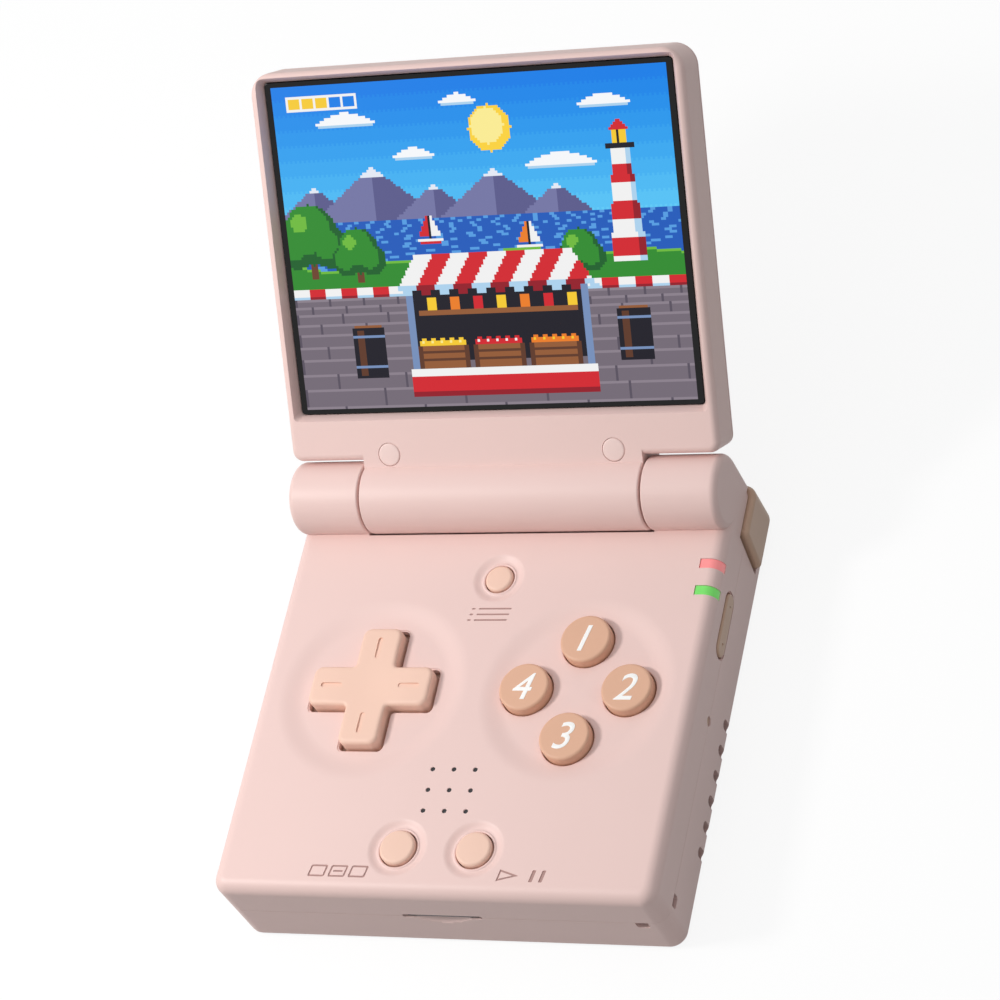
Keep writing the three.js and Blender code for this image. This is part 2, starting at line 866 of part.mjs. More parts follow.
// Inside the base
function mainBoard() {
  const front = -cavityY + boardFrontGap;
  const tongue = boardTongueWidth / 2;
  const half = boardTongueWidth / 2 + screwRadius;
  const plate = join(
    slab(roundedRect(-boardHalf, boardHalf, front, boardBack, boardCorner), boardLow, boardHigh),
    box(-tongue, tongue, boardBack - half, boardTongueBack, boardLow, boardHigh),
  );
  const holes = screwPlaces.map(([x, y]) =>
    post(x, y, bossRadius + boardHoleGap, boardLow - overrun, boardHigh + overrun),
  );
  const chipLow = boardLow - chipHeight;
  const middle = boardLow + boardThickness / 2;
  const chip = chipSize / 2;
  const memory = [memoryWidth / 2, memoryLength / 2];
  const [x, y] = [chipX, chipY];
  return join(cut(plate, holes), [
    box(-x - chip, -x + chip, y - chip, y + chip, chipLow, middle),
    box(x - memory[0], x + memory[0], y - memory[1], y + memory[1], chipLow, middle),
  ]);
}

function battery() {
  const x = batteryWidth / 2;
  const y = batteryLength / 2;
  const plan = roundedRect(-x, x, batteryY - y, batteryY + y, batteryCorner);
  return slab(plan, batteryLow, batteryHigh, cavityEdge);
}

function speaker() {
  const low = flangeHigh - speakerHeight;
  const frame = flangeHigh - speakerFrameHeight;
  return turned(
    [
      [0, low],
      [speakerMagnetRadius, low],
      [speakerMagnetRadius, frame],
      [speakerRadius, frame],
      [speakerRadius, flangeHigh],
      [0, flangeHigh],
    ],
    0,
    speakerY,
  );
}

function cardSocket() {
  const high = boardLow - fitGap;
  const low = high - socketHeight;
  const half = socketWidth / 2;
  const front = -cavityY + fitGap;
  const back = front + socketLength;
  const cardLow = partingHeight - cardThickness / 2 - fitGap;
  const inner = half - socketSide;
  return cut(
    box(-half, half, front, back, low, high),
    box(-inner, inner, front - overrun, back - socketSide, cardLow, high + overrun),
  );
}

function memoryCard() {
  const half = cardWidth / 2;
  const front = -halfDepth + cardSunk;
  const low = partingHeight - cardThickness / 2;
  const back = Math.min(front + cardLength, -cavityY + socketLength - socketSide);
  const plan = roundedRect(-half, half, front, back, cardThickness);
  return slab(plan, low, low + cardThickness);
}

function usbPort() {
  const back = halfDepth - usbSunk;
  const front = back - usbLength;
  const mouth = back - usbDepth;
  const half = usbTongueWidth / 2;
  const rise = usbTongueHeight / 2;
  const body = slab(stadium(0, 0, usbWidth, usbHeight), front, back);
  const hollow = stadium(0, 0, usbWidth - 2 * usbWall, usbHeight - 2 * usbWall);
  const tongue = box(-half, half, -rise, rise, mouth - usbWall, mouth + usbTongueLength);
  return join(cut(body, slab(hollow, mouth, back + overrun)), tongue)
    .rotateX(-quarter)
    .translate(0, 0, usbZ);
}

function headphoneJack() {
  const right = -cavityX + fitGap + jackLength;
  const half = jackWidth / 2;
  const mouth = -halfWidth + usbSunk;
  const body = box(
    right - jackLength,
    right,
    jackY - half,
    jackY + half,
    boardLow - fitGap - jackDepth,
    boardLow - fitGap,
  );
  const collar = alongX(circle(jackY, jackHeight, jackCollarRadius), mouth, right - jackLength / 2);
  const bore = alongX(
    circle(jackY, jackHeight, jackBoreRadius, smallSteps),
    mouth - overrun,
    mouth + jackBoreDepth,
  );
  return cut(join(body, collar), bore);
}

function caseScrew(x, y) {
  const headLow = screwHeadSunk;
  const headHigh = headLow + screwHeadHeight;
  const long = screwRecessLength / 2;
  const wide = screwRecessWidth / 2;
  const recessHigh = headLow + screwRecessDepth;
  return cut(
    join(
      post(x, y, screwHeadRadius, headLow, headHigh),
      post(x, y, screwRadius, headHigh - screwHeadHeight / 2, screwHigh, tinySteps),
    ),
    box(x - long, x + long, y - wide, y + wide, headLow - overrun, recessHigh),
    box(x - wide, x + wide, y - long, y + long, headLow - overrun, recessHigh),
  );
}

// Hinge pieces
function hingeCartridge() {
  const round = circle(hingeY, hingeZ, cartridgeRadius, smallSteps);
  return alongX(round, knuckleStart + fitGap, halfWidth - boreEnd - fitGap, barrelEdge);
}

function hingeBush() {
  const left = -(halfWidth - boreEnd - fitGap);
  const right = -(barrelHalf - bushReach);
  const outer = alongX(circle(hingeY, hingeZ, bushRadius), left, right);
  const inner = circle(hingeY, hingeZ, bushRadius - bushWall);
  return cut(outer, alongX(inner, left - overrun, right + overrun));
}

// Keys
function key(x, y, radius, top, flangeRadius) {
  const low = flangeHigh - flangeThickness;
  const cap = circle(x, y, radius);
  return join(
    slab(cap, low, baseHeight + top, keyEdge),
    post(x, y, flangeRadius, low, flangeHigh, roundSteps),
    post(x, y, stemRadius, stemLow, low + flangeThickness / 2),
  );
}

function padMarks() {
  const half = padMarkWidth / 2;
  const depth = baseHeight + padTop - padMarkDepth;
  const groove = box(padMarkFrom, padMarkFrom + padMarkLength, -half, half, depth, bodyWidth);
  return [0, 1, 2, 3].map((turn) =>
    groove
      .clone()
      .rotateZ(turn * quarter)
      .translate(-padX, padY, 0),
  );
}

// Shallow bowl in the middle of the pad
function bowlProfile(top) {
  const bowl = Array.from({ length: cornerSteps + 1 }, (_, i) => [
    (padHollowRadius * i) / cornerSteps,
    top - padHollowDepth * (1 - smoothRamp(i / cornerSteps)),
  ]);
  return [...bowl, [padHollowRadius, top + overrun], [0, top + overrun]];
}

function directionPad() {
  const top = baseHeight + padTop;
  const flange = ceiling - padFlangeDrop;
  const low = flange - padFlangeThickness;
  const hollow = turned(bowlProfile(top), -padX, padY, smallSteps);
  return cut(
    join(
      slab(cross(-padX, padY, padArm, padHalfWidth, padCorner), low, top, padEdge),
      post(-padX, padY, padFlangeRadius, low, flange, roundSteps),
    ),
    padMarks(),
    hollow,
  );
}

function padPivot() {
  const low = membraneLow + membraneThickness + fitGap;
  return post(-padX, padY, pivotRadius, low, low + pivotThickness);
}

// Rubber sheets with a dome under each key
function membrane(shape, domes) {
  const plate = slab(shape, membraneLow, membraneLow + membraneThickness);
  const cups = domes.map(([x, y]) =>
    turned(
      [
        [0, membraneLow],
        [domeRadius, membraneLow],
        [domeTopRadius, domeHigh],
        [0, domeHigh],
      ],
      x,
      y,
      smallSteps,
    ),
  );
  return join(plate, cups);
}

function padMembrane() {
  const places = [0, 1, 2, 3].map((turn) => [
    -padX + padDomePitch * Math.cos(turn * quarter),
    padY + padDomePitch * Math.sin(turn * quarter),
  ]);
  return membrane(circle(-padX, padY, padDomePitch + domeRadius + membraneMargin), places);
}

function actionMembrane() {
  const reach = actionPitch + domeRadius + membraneMargin;
  return membrane(circle(actionX, actionY, reach), actionPlaces);
}

function menuMembrane() {
  return membrane(circle(0, menuY, domeRadius + membraneMargin, smallSteps), [[0, menuY]]);
}

function optionMembrane() {
  const width = 2 * (domeRadius + membraneMargin);
  const shape = stadium(0, optionY, 2 * optionX + width, width);
  return membrane(
    shape,
    [-1, 1].map((side) => [side * optionX, optionY]),
  );
}

// Side keys. Side is 1 or -1; the retaining flange is inside the wall.
function sideKey(side, y, height, length, width, proud) {
  const flange = cavityX - sideFlangeGap;
  const margin = 2 * sideFlangeMargin;
  const cap = alongX(stadium(y, height, length, width), flange - sideKeyEdge, halfWidth + proud);
  const rounded = alongX(
    stadium(y, height, length, width),
    flange - sideKeyEdge,
    halfWidth + proud,
    sideKeyEdge,
  );
  const plate = alongX(
    stadium(y, height, length + margin, width + margin),
    flange - sideFlangeThickness,
    flange,
  );
  const made = join(common(cap, rounded), plate);
  return side > 0 ? made : mirrored(made);
}

function resetKey() {
  const flange = cavityX - sideFlangeGap;
  const pin = circle(resetY, partingHeight, resetRadius, smallSteps);
  const plate = circle(resetY, partingHeight, resetRadius + resetFlangeWidth, smallSteps);
  return join(
    alongX(pin, flange - sideFlangeThickness, halfWidth - resetSunk),
    alongX(plate, flange - sideFlangeThickness, flange),
  );
}

// Shoulder buttons, drawn for the right
function hub(x) {
  const web = box(
    x - hubRadius,
    x + hubRadius,
    hubY,
    shoulderBack - shoulderWall / 2,
    shoulderLow,
    hubHigh,
  );
  return [
    web,
    post(x, hubY, hubRadius, shoulderLow, hubHigh),
    post(x, hubY, trunnionRadius, floorWall - socketDepth + fitGap, shoulderLow + shoulderWall),
    post(x, hubY, trunnionRadius, hubHigh - shoulderWall, hubHigh + trunnionLength),
  ];
}

function shoulderOuter() {
  const right = halfWidth + shoulderProud;
  const plan = roundedRect(
    shoulderInner,
    right,
    shoulderFront,
    shoulderBack,
    shoulderEndCorner,
    shoulderCorner,
  );
  const block = slab(plan, shoulderLow, shoulderHigh, shoulderEdge);
  const room = box(
    shoulderInner - overrun,
    right - shoulderWall,
    shoulderFront - overrun,
    shoulderBack - shoulderWall,
    shoulderLow - overrun,
    shoulderHigh + overrun,
  );
  return join(cut(block, room), hub(shoulderInner + hubRadius));
}

function shoulderSecond() {
  const right = shoulderInner - shoulderBetween;
  const plan = roundedRect(
    shoulderSecondInner,
    right,
    shoulderBack - shoulderWall,
    shoulderBack,
    shoulderEndCorner,
  );
  const block = slab(plan, shoulderLow, shoulderHigh, shoulderEdge);
  return join(block, hub(shoulderSecondInner + hubRadius));
}

// Upright circuit board with a switch behind each shoulder button
function shoulderBoard() {
  const tip = shoulderBack - shoulderWall - switchPressGap;
  const back = tip - switchTipDepth - switchDepth;
  const left = shoulderSecondInner + 2 * hubRadius + shoulderBetween;
  const right = halfWidth + shoulderProud - 2 * shoulderWall - shoulderTravelGap;
  const middle = (shoulderLow + lowerHigh) / 2;
  const front = back - switchBoardThickness;
  const plate = box(left, right, front, back, switchBoardLow, switchBoardHigh);
  const buttons = [(left + shoulderInner) / 2, right - switchWidth].flatMap((x) => [
    box(
      x - switchWidth / 2,
      x + switchWidth / 2,
      back - switchBoardThickness / 2,
      back + switchDepth,
      middle - switchHeight / 2,
      middle + switchHeight / 2,
    ),
    post(x, 0, switchTipRadius, back, tip)
      .translate(-x, 0, 0)
      .rotateX(-quarter)
      .translate(x, 0, middle),
  ]);
  return join(plate, buttons);
}

// Indicator windows that wrap over the right edge, each with a leg down to its lamp
function lightPipe(y) {
  const half = lightWidth / 2 - fitGap / 2;
  const left = lightInner + fitGap;
  const low = baseHeight - lightDrop + fitGap;
  const skin = baseBlock().translate(-lightSink, 0, -lightSink);
  const window = common(skin, box(left, halfWidth, y - half, y + half, low, baseHeight));
  const leg = box(
    left,
    left + lightLeg,
    y - half,
    y + half,
    boardHigh + fitGap,
    low + fitGap,
  );
  return join(window, leg);
}

// Lid, in its own frame
function lidOutline(inset, nearCorner, farCorner) {
  const x = halfWidth - inset;
  return roundedRect(-x, x, lidNear + inset, lidFar - inset, nearCorner, farCorner);
}

function glassOutline(margin) {
  const x = glassWidth / 2 + margin;
  const corner = glassCorner + margin;
  return roundedRect(-x, x, glassNear - margin, glassFar + margin, corner);
}

// Recess that narrows from the rim down to the glass
function rimFunnel() {
  const geometry = new THREE.ExtrudeGeometry(glassOutline(fitGap + rimDraft), {
    depth: overrun,
    bevelThickness: glassRecess,
    bevelSize: rimDraft,
    bevelOffset: -rimDraft,
    bevelSegments: 1,
  });
  return geometry.translate(0, 0, lidFace);
}

function barrel() {
  const tube = alongX(circle(0, 0, hingeRadius, 2 * roundSteps), -barrelHalf, barrelHalf, barrelEdge);
  const near = lidNear - fitGap;
  return [
    tube,
    box(-barrelHalf, barrelHalf, 0, lidNear + lidWall, lidSplit, lidFace),
    box(-barrelHalf, barrelHalf, 0, near, lidSplit - tongueBack, lidSplit + tongueBack),
  ];
}

function bumperPlaces() {
  return [-1, 1].map((side) => side * bumperX);
}

function lidFrontBezel() {
  const plate = slab(
    lidOutline(0, lidNearCorner, lidFarCorner),
    lidSplit - lidFrontEdge,
    lidFace,
    lidFrontEdge,
  );
  const body = join(cut(plate, below(lidSplit)), barrel());
  const backRoom = slab(
    lidOutline(lidWall, lidNearCorner, lidFarCorner - lidWall),
    lidSplit - overrun,
    middleLow,
  );
  const screwSeat = lidFace - bumperDepth - fitGap - lidScrewHeadHeight;
  const bossBore = lidScrewRadius + lidBossWall + 2 * fitGap;
  const screwBores = bumperPlaces().flatMap((x) => [
    post(x, bumperFromHinge, bumperRadius + bumperGap, screwSeat - fitGap, lidFace + overrun, roundSteps),
    post(x, bumperFromHinge, lidScrewRadius + fitGap, lidBack - overrun, lidFace),
    post(x, bumperFromHinge, bossBore, lidBack - overrun, middleLow),
  ]);
  const keep = box(-halfWidth, halfWidth, 0, lidNear + lidWall, lidBack, middleLow);
  const ribbonLeft = -ribbonX - ribbonWidth / 2 - fitGap;
  const ribbonRight = -ribbonX + ribbonWidth / 2 + fitGap;
  return cut(
    body,
    cut(backRoom, keep),
    slab(glassOutline(fitGap), middleHigh, glassTop + fitGap),
    rimFunnel(),
    screwBores,
    alongX(circle(0, 0, bushRadius + fitGap), -barrelHalf - overrun, -barrelHalf + ribbonBoreLength),
    alongX(
      circle(0, 0, camShaftRadius + fitGap, smallSteps),
      barrelHalf - camShaftLength,
      barrelHalf + overrun,
    ),
    box(
      ribbonLeft,
      ribbonRight,
      0,
      lidNear + 2 * lidWall,
      lidSplit + fitGap,
      middleLow,
    ),
  );
}

function lidRearCover() {
  const high = lidBack + lidCoverThickness;
  const plate = slab(
    lidOutline(0, lidNearCorner, lidFarCorner),
    lidBack,
    high + lidBackEdge,
    lidBackEdge,
  );
  const margin = lidWall + fitGap;
  const corner = lidFarCorner - margin;
  const near = lidNear + lidWall + fitGap;
  const far = lidFar - margin;
  const x = halfWidth - margin;
  const lip = cut(
    slab(roundedRect(-x, x, near, far, lidNearCorner, corner), high - lipWall / 2, high + lipHeight),
    slab(
      roundedRect(
        -x + lipWall,
        x - lipWall,
        near + lipWall,
        far - lipWall,
        lidNearCorner - lipWall,
        corner - lipWall,
      ),
      high - overrun,
      high + overrun,
    ),
  );
  const bossTop = middleLow - fitGap;
  const boss = lidScrewRadius + lidBossWall + fitGap;
  const bosses = bumperPlaces().map((side) => post(side, bumperFromHinge, boss, high, bossTop));
  const room = bumperPlaces().map((side) =>
    post(side, bumperFromHinge, boss + fitGap, high, bossTop + overrun),
  );
  const bores = bumperPlaces().map((side) =>
    post(side, bumperFromHinge, lidScrewRadius + fitGap, lidBack + lidCoverThickness / 2, lidFace),
  );
  const seats = bosses.map((piece) => join(piece, piece.clone().translate(0, 0, -lipWall / 2)));
  return cut(join(cut(plate, above(high)), cut(lip, room), seats), bores);
}

function screenGlass() {
  return slab(glassOutline(0), glassTop - glassThickness, glassTop);
}

function displayPanel() {
  const high = glassTop - glassThickness - fitGap;
  return slab(glassOutline(0), high - panelThickness, high);
}

function displayRibbon() {
  const low = middleLow - fitGap - ribbonThickness;
  const left = -ribbonX - ribbonWidth / 2;
  const near = bushRadius / 2;
  return box(left, left + ribbonWidth, near, near + ribbonRun, low, low + ribbonThickness);
}

function bumper(x) {
  const low = lidFace - bumperDepth;
  const disc = circle(x, bumperFromHinge, bumperRadius, smallSteps);
  return slab(disc, low, lidFace + bumperProud, bumperProud);
}

function lidScrew(x) {
  const high = lidFace - bumperDepth - fitGap;
  const low = high - lidScrewHeadHeight;
  return join(
    post(x, bumperFromHinge, lidScrewHeadRadius, low, high),
    post(x, bumperFromHinge, lidScrewRadius, low - lidScrewLength, high - lidScrewHeadHeight / 2),
  );
}

function lidMagnet() {
  const right = halfWidth - magnetFromSide;
  const far = lidFar - magnetFromFar;
  const high = middleLow - fitGap;
  const low = high - magnetThickness;
  return box(right - magnetWidth, right, far - magnetLength, far, low, high);
}

function hingeCamShaft() {
  const shape = circle(0, 0, camShaftRadius, hexagonSides);
  return alongX(shape, barrelHalf - camShaftLength + fitGap, knuckleStart);
}

// Assembly
const base = new THREE.Group();
const lid = new THREE.Group();
lid.position.set(0, hingeY, hingeZ);
lid.rotation.x = THREE.MathUtils.degToRad(180 - openAngle);

function place(group, name, geometry, material) {
  const mesh = new THREE.Mesh(geometry, material);
  mesh.name = name;
  group.add(mesh);
}

const shell = plastic(shellPink);
const boardGreen = plastic(0x1f4f3a, 0.5);
const rubber = plastic(rubberGrey, 0.8);
const tan = plastic(keyTan, 0.4);
const peach = plastic(padPeach, 0.45);
const steel = metal(0xb9babd);

place(base, "base_top_shell", baseTopShell(), shell);
place(base, "base_bottom_shell", baseBottomShell(), shell.clone());
place(base, "main_board", mainBoard(), boardGreen);
place(base, "battery", battery(), plastic(0x5b6068, 0.5));
place(base, "speaker", speaker(), metal(0x34363a, 0.5));
place(base, "card_socket", cardSocket(), steel.clone());
place(base, "memory_card", memoryCard(), plastic(0x232427, 0.45));
place(base, "usb_port", usbPort(), steel.clone());
place(base, "headphone_jack", headphoneJack(), plastic(0x202124, 0.5));
place(base, "hinge_cartridge", hingeCartridge(), steel.clone());
place(base, "hinge_bush", hingeBush(), steel.clone());
place(base, "direction_pad", directionPad(), peach);
place(base, "direction_pad_pivot", padPivot(), rubber.clone());
["north", "east", "south", "west"].forEach((name, i) => {
  const [x, y] = actionPlaces[i];
  const made = key(x, y, actionRadius, actionTop, actionFlangeRadius);
  place(base, `action_button_${name}`, made, tan.clone());
});
const menuFlange = menuRadius + smallFlangeWidth;
const optionFlange = optionRadius + smallFlangeWidth;
const menuKey = key(0, menuY, menuRadius, menuTop, menuFlange);
place(base, "menu_button", menuKey, peach.clone());
[["select_button", -optionX], ["start_button", optionX]].forEach(([name, x]) => {
  place(base, name, key(x, optionY, optionRadius, optionTop, optionFlange), peach.clone());
});
place(base, "direction_pad_membrane", padMembrane(), rubber.clone());
place(base, "action_membrane", actionMembrane(), rubber.clone());
place(base, "menu_membrane", menuMembrane(), rubber.clone());
place(base, "option_membrane", optionMembrane(), rubber.clone());
const rocker = sideKey(1, rockerY, rockerHeight, rockerLength, rockerWidth, rockerProud);
place(base, "volume_rocker", rocker, plastic(shoulderTan));
const power = sideKey(-1, powerY, rockerHeight, powerLength, sideKeyWidth, rockerProud);
place(base, "power_button", power, plastic(shoulderTan));
place(base, "reset_button", resetKey(), plastic(shoulderTan));
[["right", (g) => g], ["left", mirrored]].forEach(([side, turn]) => {
  place(base, `shoulder_button_outer_${side}`, turn(shoulderOuter()), plastic(shoulderTan));
  place(base, `shoulder_button_inner_${side}`, turn(shoulderSecond()), plastic(shoulderTan));
  place(base, `shoulder_board_${side}`, turn(shoulderBoard()), boardGreen.clone());
});
["red", "green"].forEach((name, i) => {
  const color = name === "red" ? 0xf29191 : 0x73d264;
  place(base, `light_pipe_${name}`, lightPipe(lightY[i]), plastic(color, 0.3));
});
screwPlaces.forEach(([x, y]) => {
  const name = `case_screw_${y < 0 ? "front" : "back"}_${x < 0 ? "left" : "right"}`;
  place(base, name, caseScrew(x, y), steel.clone());
});

place(lid, "lid_front_bezel", lidFrontBezel(), shell.clone());
place(lid, "lid_rear_cover", lidRearCover(), shell.clone());
place(lid, "screen_glass", screenGlass(), plastic(0x0b0b0d, 0.1));
place(lid, "display_panel", displayPanel(), plastic(0x2a2c30, 0.4));
place(lid, "display_ribbon", displayRibbon(), plastic(0xb27a3c, 0.5));
place(lid, "lid_magnet", lidMagnet(), steel.clone());
place(lid, "hinge_cam_shaft", hingeCamShaft(), steel.clone());
bumperPlaces().forEach((x) => {
  const side = x < 0 ? "left" : "right";
  place(lid, `lid_bumper_${side}`, bumper(x), plastic(shellPink, 0.7));
  place(lid, `lid_screw_${side}`, lidScrew(x), steel.clone());
});

const console3d = new THREE.Group();
console3d.add(base, lid);

export default console3d;
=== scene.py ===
"""Clamshell handheld game console: the finished look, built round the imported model.

Lengths are in metres. +X is the player's right, +Y the back and +Z up, and the origin is the
middle of the flat underside. The lid's pieces are drawn in the lid's own frame, with +Y from
the hinge to the far edge and +Z out of the screen's side, and are then laid on the lid.
"""

import json
import math

import bmesh
import bpy
import numpy as np
from bpy.props import FloatProperty, FloatVectorProperty, IntProperty, PointerProperty
from bpy.types import Operator, Panel, PropertyGroup
from mathutils import Matrix, Vector


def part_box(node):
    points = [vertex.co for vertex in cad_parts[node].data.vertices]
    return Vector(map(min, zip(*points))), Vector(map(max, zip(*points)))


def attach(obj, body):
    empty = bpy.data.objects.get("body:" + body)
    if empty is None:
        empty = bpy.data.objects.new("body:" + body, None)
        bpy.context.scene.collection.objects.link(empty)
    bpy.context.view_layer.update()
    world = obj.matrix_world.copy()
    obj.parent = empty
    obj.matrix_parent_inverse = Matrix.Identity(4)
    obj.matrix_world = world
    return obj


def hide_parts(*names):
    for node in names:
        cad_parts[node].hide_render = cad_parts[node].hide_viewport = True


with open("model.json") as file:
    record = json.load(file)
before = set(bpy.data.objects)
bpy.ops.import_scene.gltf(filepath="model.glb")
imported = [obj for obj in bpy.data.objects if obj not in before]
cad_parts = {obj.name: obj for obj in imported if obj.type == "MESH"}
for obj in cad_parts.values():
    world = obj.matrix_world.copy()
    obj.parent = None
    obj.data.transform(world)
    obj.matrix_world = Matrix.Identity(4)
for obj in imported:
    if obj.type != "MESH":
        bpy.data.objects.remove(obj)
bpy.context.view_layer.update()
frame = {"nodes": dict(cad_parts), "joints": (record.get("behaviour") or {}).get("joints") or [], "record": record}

bl_info = {
    "name": "Clamshell game console",
    "version": (1, 0, 0),
    "blender": (4, 5, 0),
    "location": "3D View > Sidebar > Console",
    "description": "Builds a clamshell handheld game console with its lid open",
    "category": "Add Mesh",
}

ROUND_STEPS = 96
SMALL_STEPS = 40
CORNER_STEPS = 10
SEAM_TOLERANCE = 2e-6
NEARLY_SHARE = 0.98
COVER_EDGE_SHARE = 0.96
POINT_SHARE = 0.42
BAR_SHARES = (0.66, 0.86)
OVERRUN = 0.006
FIT_GAP = 0.0003
MARK_LEAN = 0.2
HINGE_ABOVE_TOP = 0.003

# Small details of the case, its windows and its screws
SCREW_SEAT = 0.0014
WINDOW_SINK = 0.00012
WINDOW_LEG = 0.0007
SCREW_EDGE = 0.0003
SCREW_HEAD = 0.0011
SCREW_SHANK = 0.001
CROSS_LONG, CROSS_WIDE, CROSS_DEPTH = 0.0011, 0.00028, 0.0006

# Small details of the lid
LEAST_CORNER = 0.0005
TAIL_HALF = 0.001
POCKET_DEPTH = 0.0036
POCKET_OVERLAP = 0.0002
BACK_RECESS = 0.0016
CABLE_BORE_END = 0.0107
CAM_RADIUS, CAM_DEPTH = 0.0028, 0.0096
BUMPER_EDGE = 0.00035
BUMPER_RISE = 0.00012
PANE_THICKNESS = 0.001
PANE_EDGE = 0.00012
PICTURE_RISE = 0.00002

# Small details of the keys
STEM_RADIUS = 0.0019
FLANGE_LIFT, FLANGE_THICKNESS = 0.0006, 0.0011
NUMERAL_THICKNESS, NUMERAL_RISE = 0.00002, 0.00001
PAD_MARK_PLACE = 0.0077
PAD_FLANGE = 0.001
HUB_RADIUS, HUB_DROP = 0.0019, 0.002
PIN_RADIUS, PIN_DROP = 0.0012, 0.0013
SIDE_PLATE = 0.0006
SIDE_DOT_RADIUS, SIDE_DOT_DEPTH, SIDE_DOT_SHARE = 0.00025, 0.00015, 0.3
RESET_RADIUS, RESET_EDGE, RESET_FLANGE = 0.0008, 0.0002, 0.0006
FLOOR_DROP = 0.00002


# Properties


def length(default, name, description):
    """A size in metres that a user can change."""
    return FloatProperty(
        name=name, description=description, default=default, unit="LENGTH", precision=5
    )


def linear(red, green, blue):
    """A screen colour, 0 to 255, as Blender's linear one."""
    shares = [value / 255 for value in (red, green, blue)]
    return [s / 12.92 if s <= 0.04045 else ((s + 0.055) / 1.055) ** 2.4 for s in shares]


def colour(screen, name, description):
    """A surface colour that a user can change."""
    return FloatVectorProperty(
        name=name,
        description=description,
        default=linear(*screen),
        subtype="COLOR",
        min=0,
        max=1,
    )


class CaseSizes(PropertyGroup):
    """Sizes of the base and its hinge."""

    corner: length(0.003, "Corner", "Corner radius of the base in plan")
    top_edge: length(0.0024, "Top edge", "Rounding round the top face")
    low_edge: length(0.0012, "Bottom edge", "Rounding round the underside")
    end_edge: length(0.0014, "Hinge end", "Rounding of the hinge's outer ends")
    knuckle_low: length(0.0125, "Knuckle wall", "Height where the knuckle's back wall starts")
    parting: length(0.01, "Joint height", "Height of the joint between the two shells")
    parting_gap: length(0.00002, "Joint gap", "Gap between the two shells")
    seam_edge: length(0.00025, "Joint edge", "Rounding along the joint, lower shell")
    seam_fine: length(0.00003, "Upper joint edge", "Rounding along the joint, upper shell")
    wall: length(0.0016, "Wall", "Thickness of the side walls")
    floor_wall: length(0.0018, "Floor", "Thickness of the floor")
    top_wall: length(0.0022, "Top", "Thickness of the top")
    hinge_radius: length(0.0068, "Hinge radius", "Radius of the hinge barrel")
    barrel_half: length(0.0277, "Barrel half length", "Half length of the lid's barrel")
    knuckle_gap: length(0.0004, "Knuckle gap", "Gap at each end of the lid's barrel")
    knuckle_edge: length(0.00035, "Knuckle edge", "Rounding of the knuckle at that gap")
    cradle_gap: length(0.0003, "Cradle gap", "Gap round the lid's barrel")
    cradle_wall: length(0.0014, "Cradle wall", "Wall round the lid's barrel")
    relief_drop: length(0.0046, "Relief", "Back wall behind the barrel, below the axis")
    bore_radius: length(0.0048, "Hinge bore", "Radius of the bore in each knuckle")
    bore_end: length(0.0024, "Bore end", "Wall at the knuckle's outer end")
    dish_radius: length(0.0188, "Dish radius", "Radius of the dishes round the keys")
    dish_ramp: length(0.0052, "Dish ramp", "Width of the dish's slope")
    dish_depth: length(0.0008, "Dish depth", "Depth of the dishes")
    moat_depth: length(0.00055, "Small dish depth", "Depth of the dishes round small keys")
    lip_width: length(0.0006, "Lip", "Width of the ring round a small key's hole")
    lip_rise: length(0.00015, "Lip rise", "Height of that ring over its dish")
    speaker_y: length(-0.0227, "Speaker place", "Middle of the speaker holes")
    speaker_pitch: length(0.00412, "Speaker pitch", "Distance between speaker holes")
    speaker_hole: length(0.00044, "Speaker hole", "Radius of a speaker hole")
    speaker_edge: length(0.00008, "Speaker hole edge", "Rounding of a speaker hole")
    card_slot_width: length(0.0154, "Card slot width", "Width of the card slot")
    card_slot_height: length(0.0011, "Card slot height", "Height of the card slot")
    # The card is real; its width and small depth behind the wall also make its dark front fill the slot as painted
    # shade of the slot's inside.
    card_width: length(0.0137, "Card width", "Width of the memory card")
    card_sunk: length(0.00025, "Card depth", "Card's front behind the front wall")
    card_edge: length(0.00012, "Card edge", "Rounding of the memory card")
    scoop_drop: length(0.0026, "Scoop", "Height of the fingernail recess below the slot")
    scoop_circle: length(0.0094, "Scoop circle", "Radius of the recess on the front wall")
    scoop_stand: length(0.015, "Scoop centre", "Centre of its hollow before the wall")
    vent_width: length(0.0020, "Vent width", "Width of an air slot")
    vent_height: length(0.0035, "Vent height", "Height of an air slot")
    vent_low: length(0.00015, "Vent foot", "Underside of an air slot's window")
    vent_reach: length(0.0064, "Vent reach", "Length of an air slot on the underside")
    vent_pitch: length(0.00505, "Vent pitch", "Distance between air slots")
    vent_y: length(-0.0132, "Vent place", "Middle of the row of air slots")
    vents: IntProperty(name="Vents", description="Air slots in a row", default=6, min=1)
    eye_width: length(0.0024, "Lanyard eye width", "Width of the lanyard eye")
    eye_height: length(0.0018, "Lanyard eye height", "Height of the lanyard eye")
    eye_side: length(0.005, "Lanyard eye from side", "Lanyard eye from the side wall")
    eye_front: length(0.0047, "Lanyard eye from front", "Lanyard eye from the front wall")
    eye_block: length(0.0014, "Lanyard eye wall", "Material round the lanyard eye")
    light_drop: length(0.0026, "Indicator drop", "How far a window runs down the side")
    jack_height: length(0.008, "Jack height", "Middle of the headphone jack")
    jack_radius: length(0.0027, "Jack radius", "Radius of the headphone jack")
    reset_radius: length(0.0009, "Reset hole", "Radius of the reset hole")
    boss_radius: length(0.003, "Boss radius", "Radius of the screw bosses")
    mark_depth: length(0.00025, "Mark depth", "Depth of the marks beside the keys")
    mark_stroke: length(0.00034, "Mark stroke", "Width of their lines")


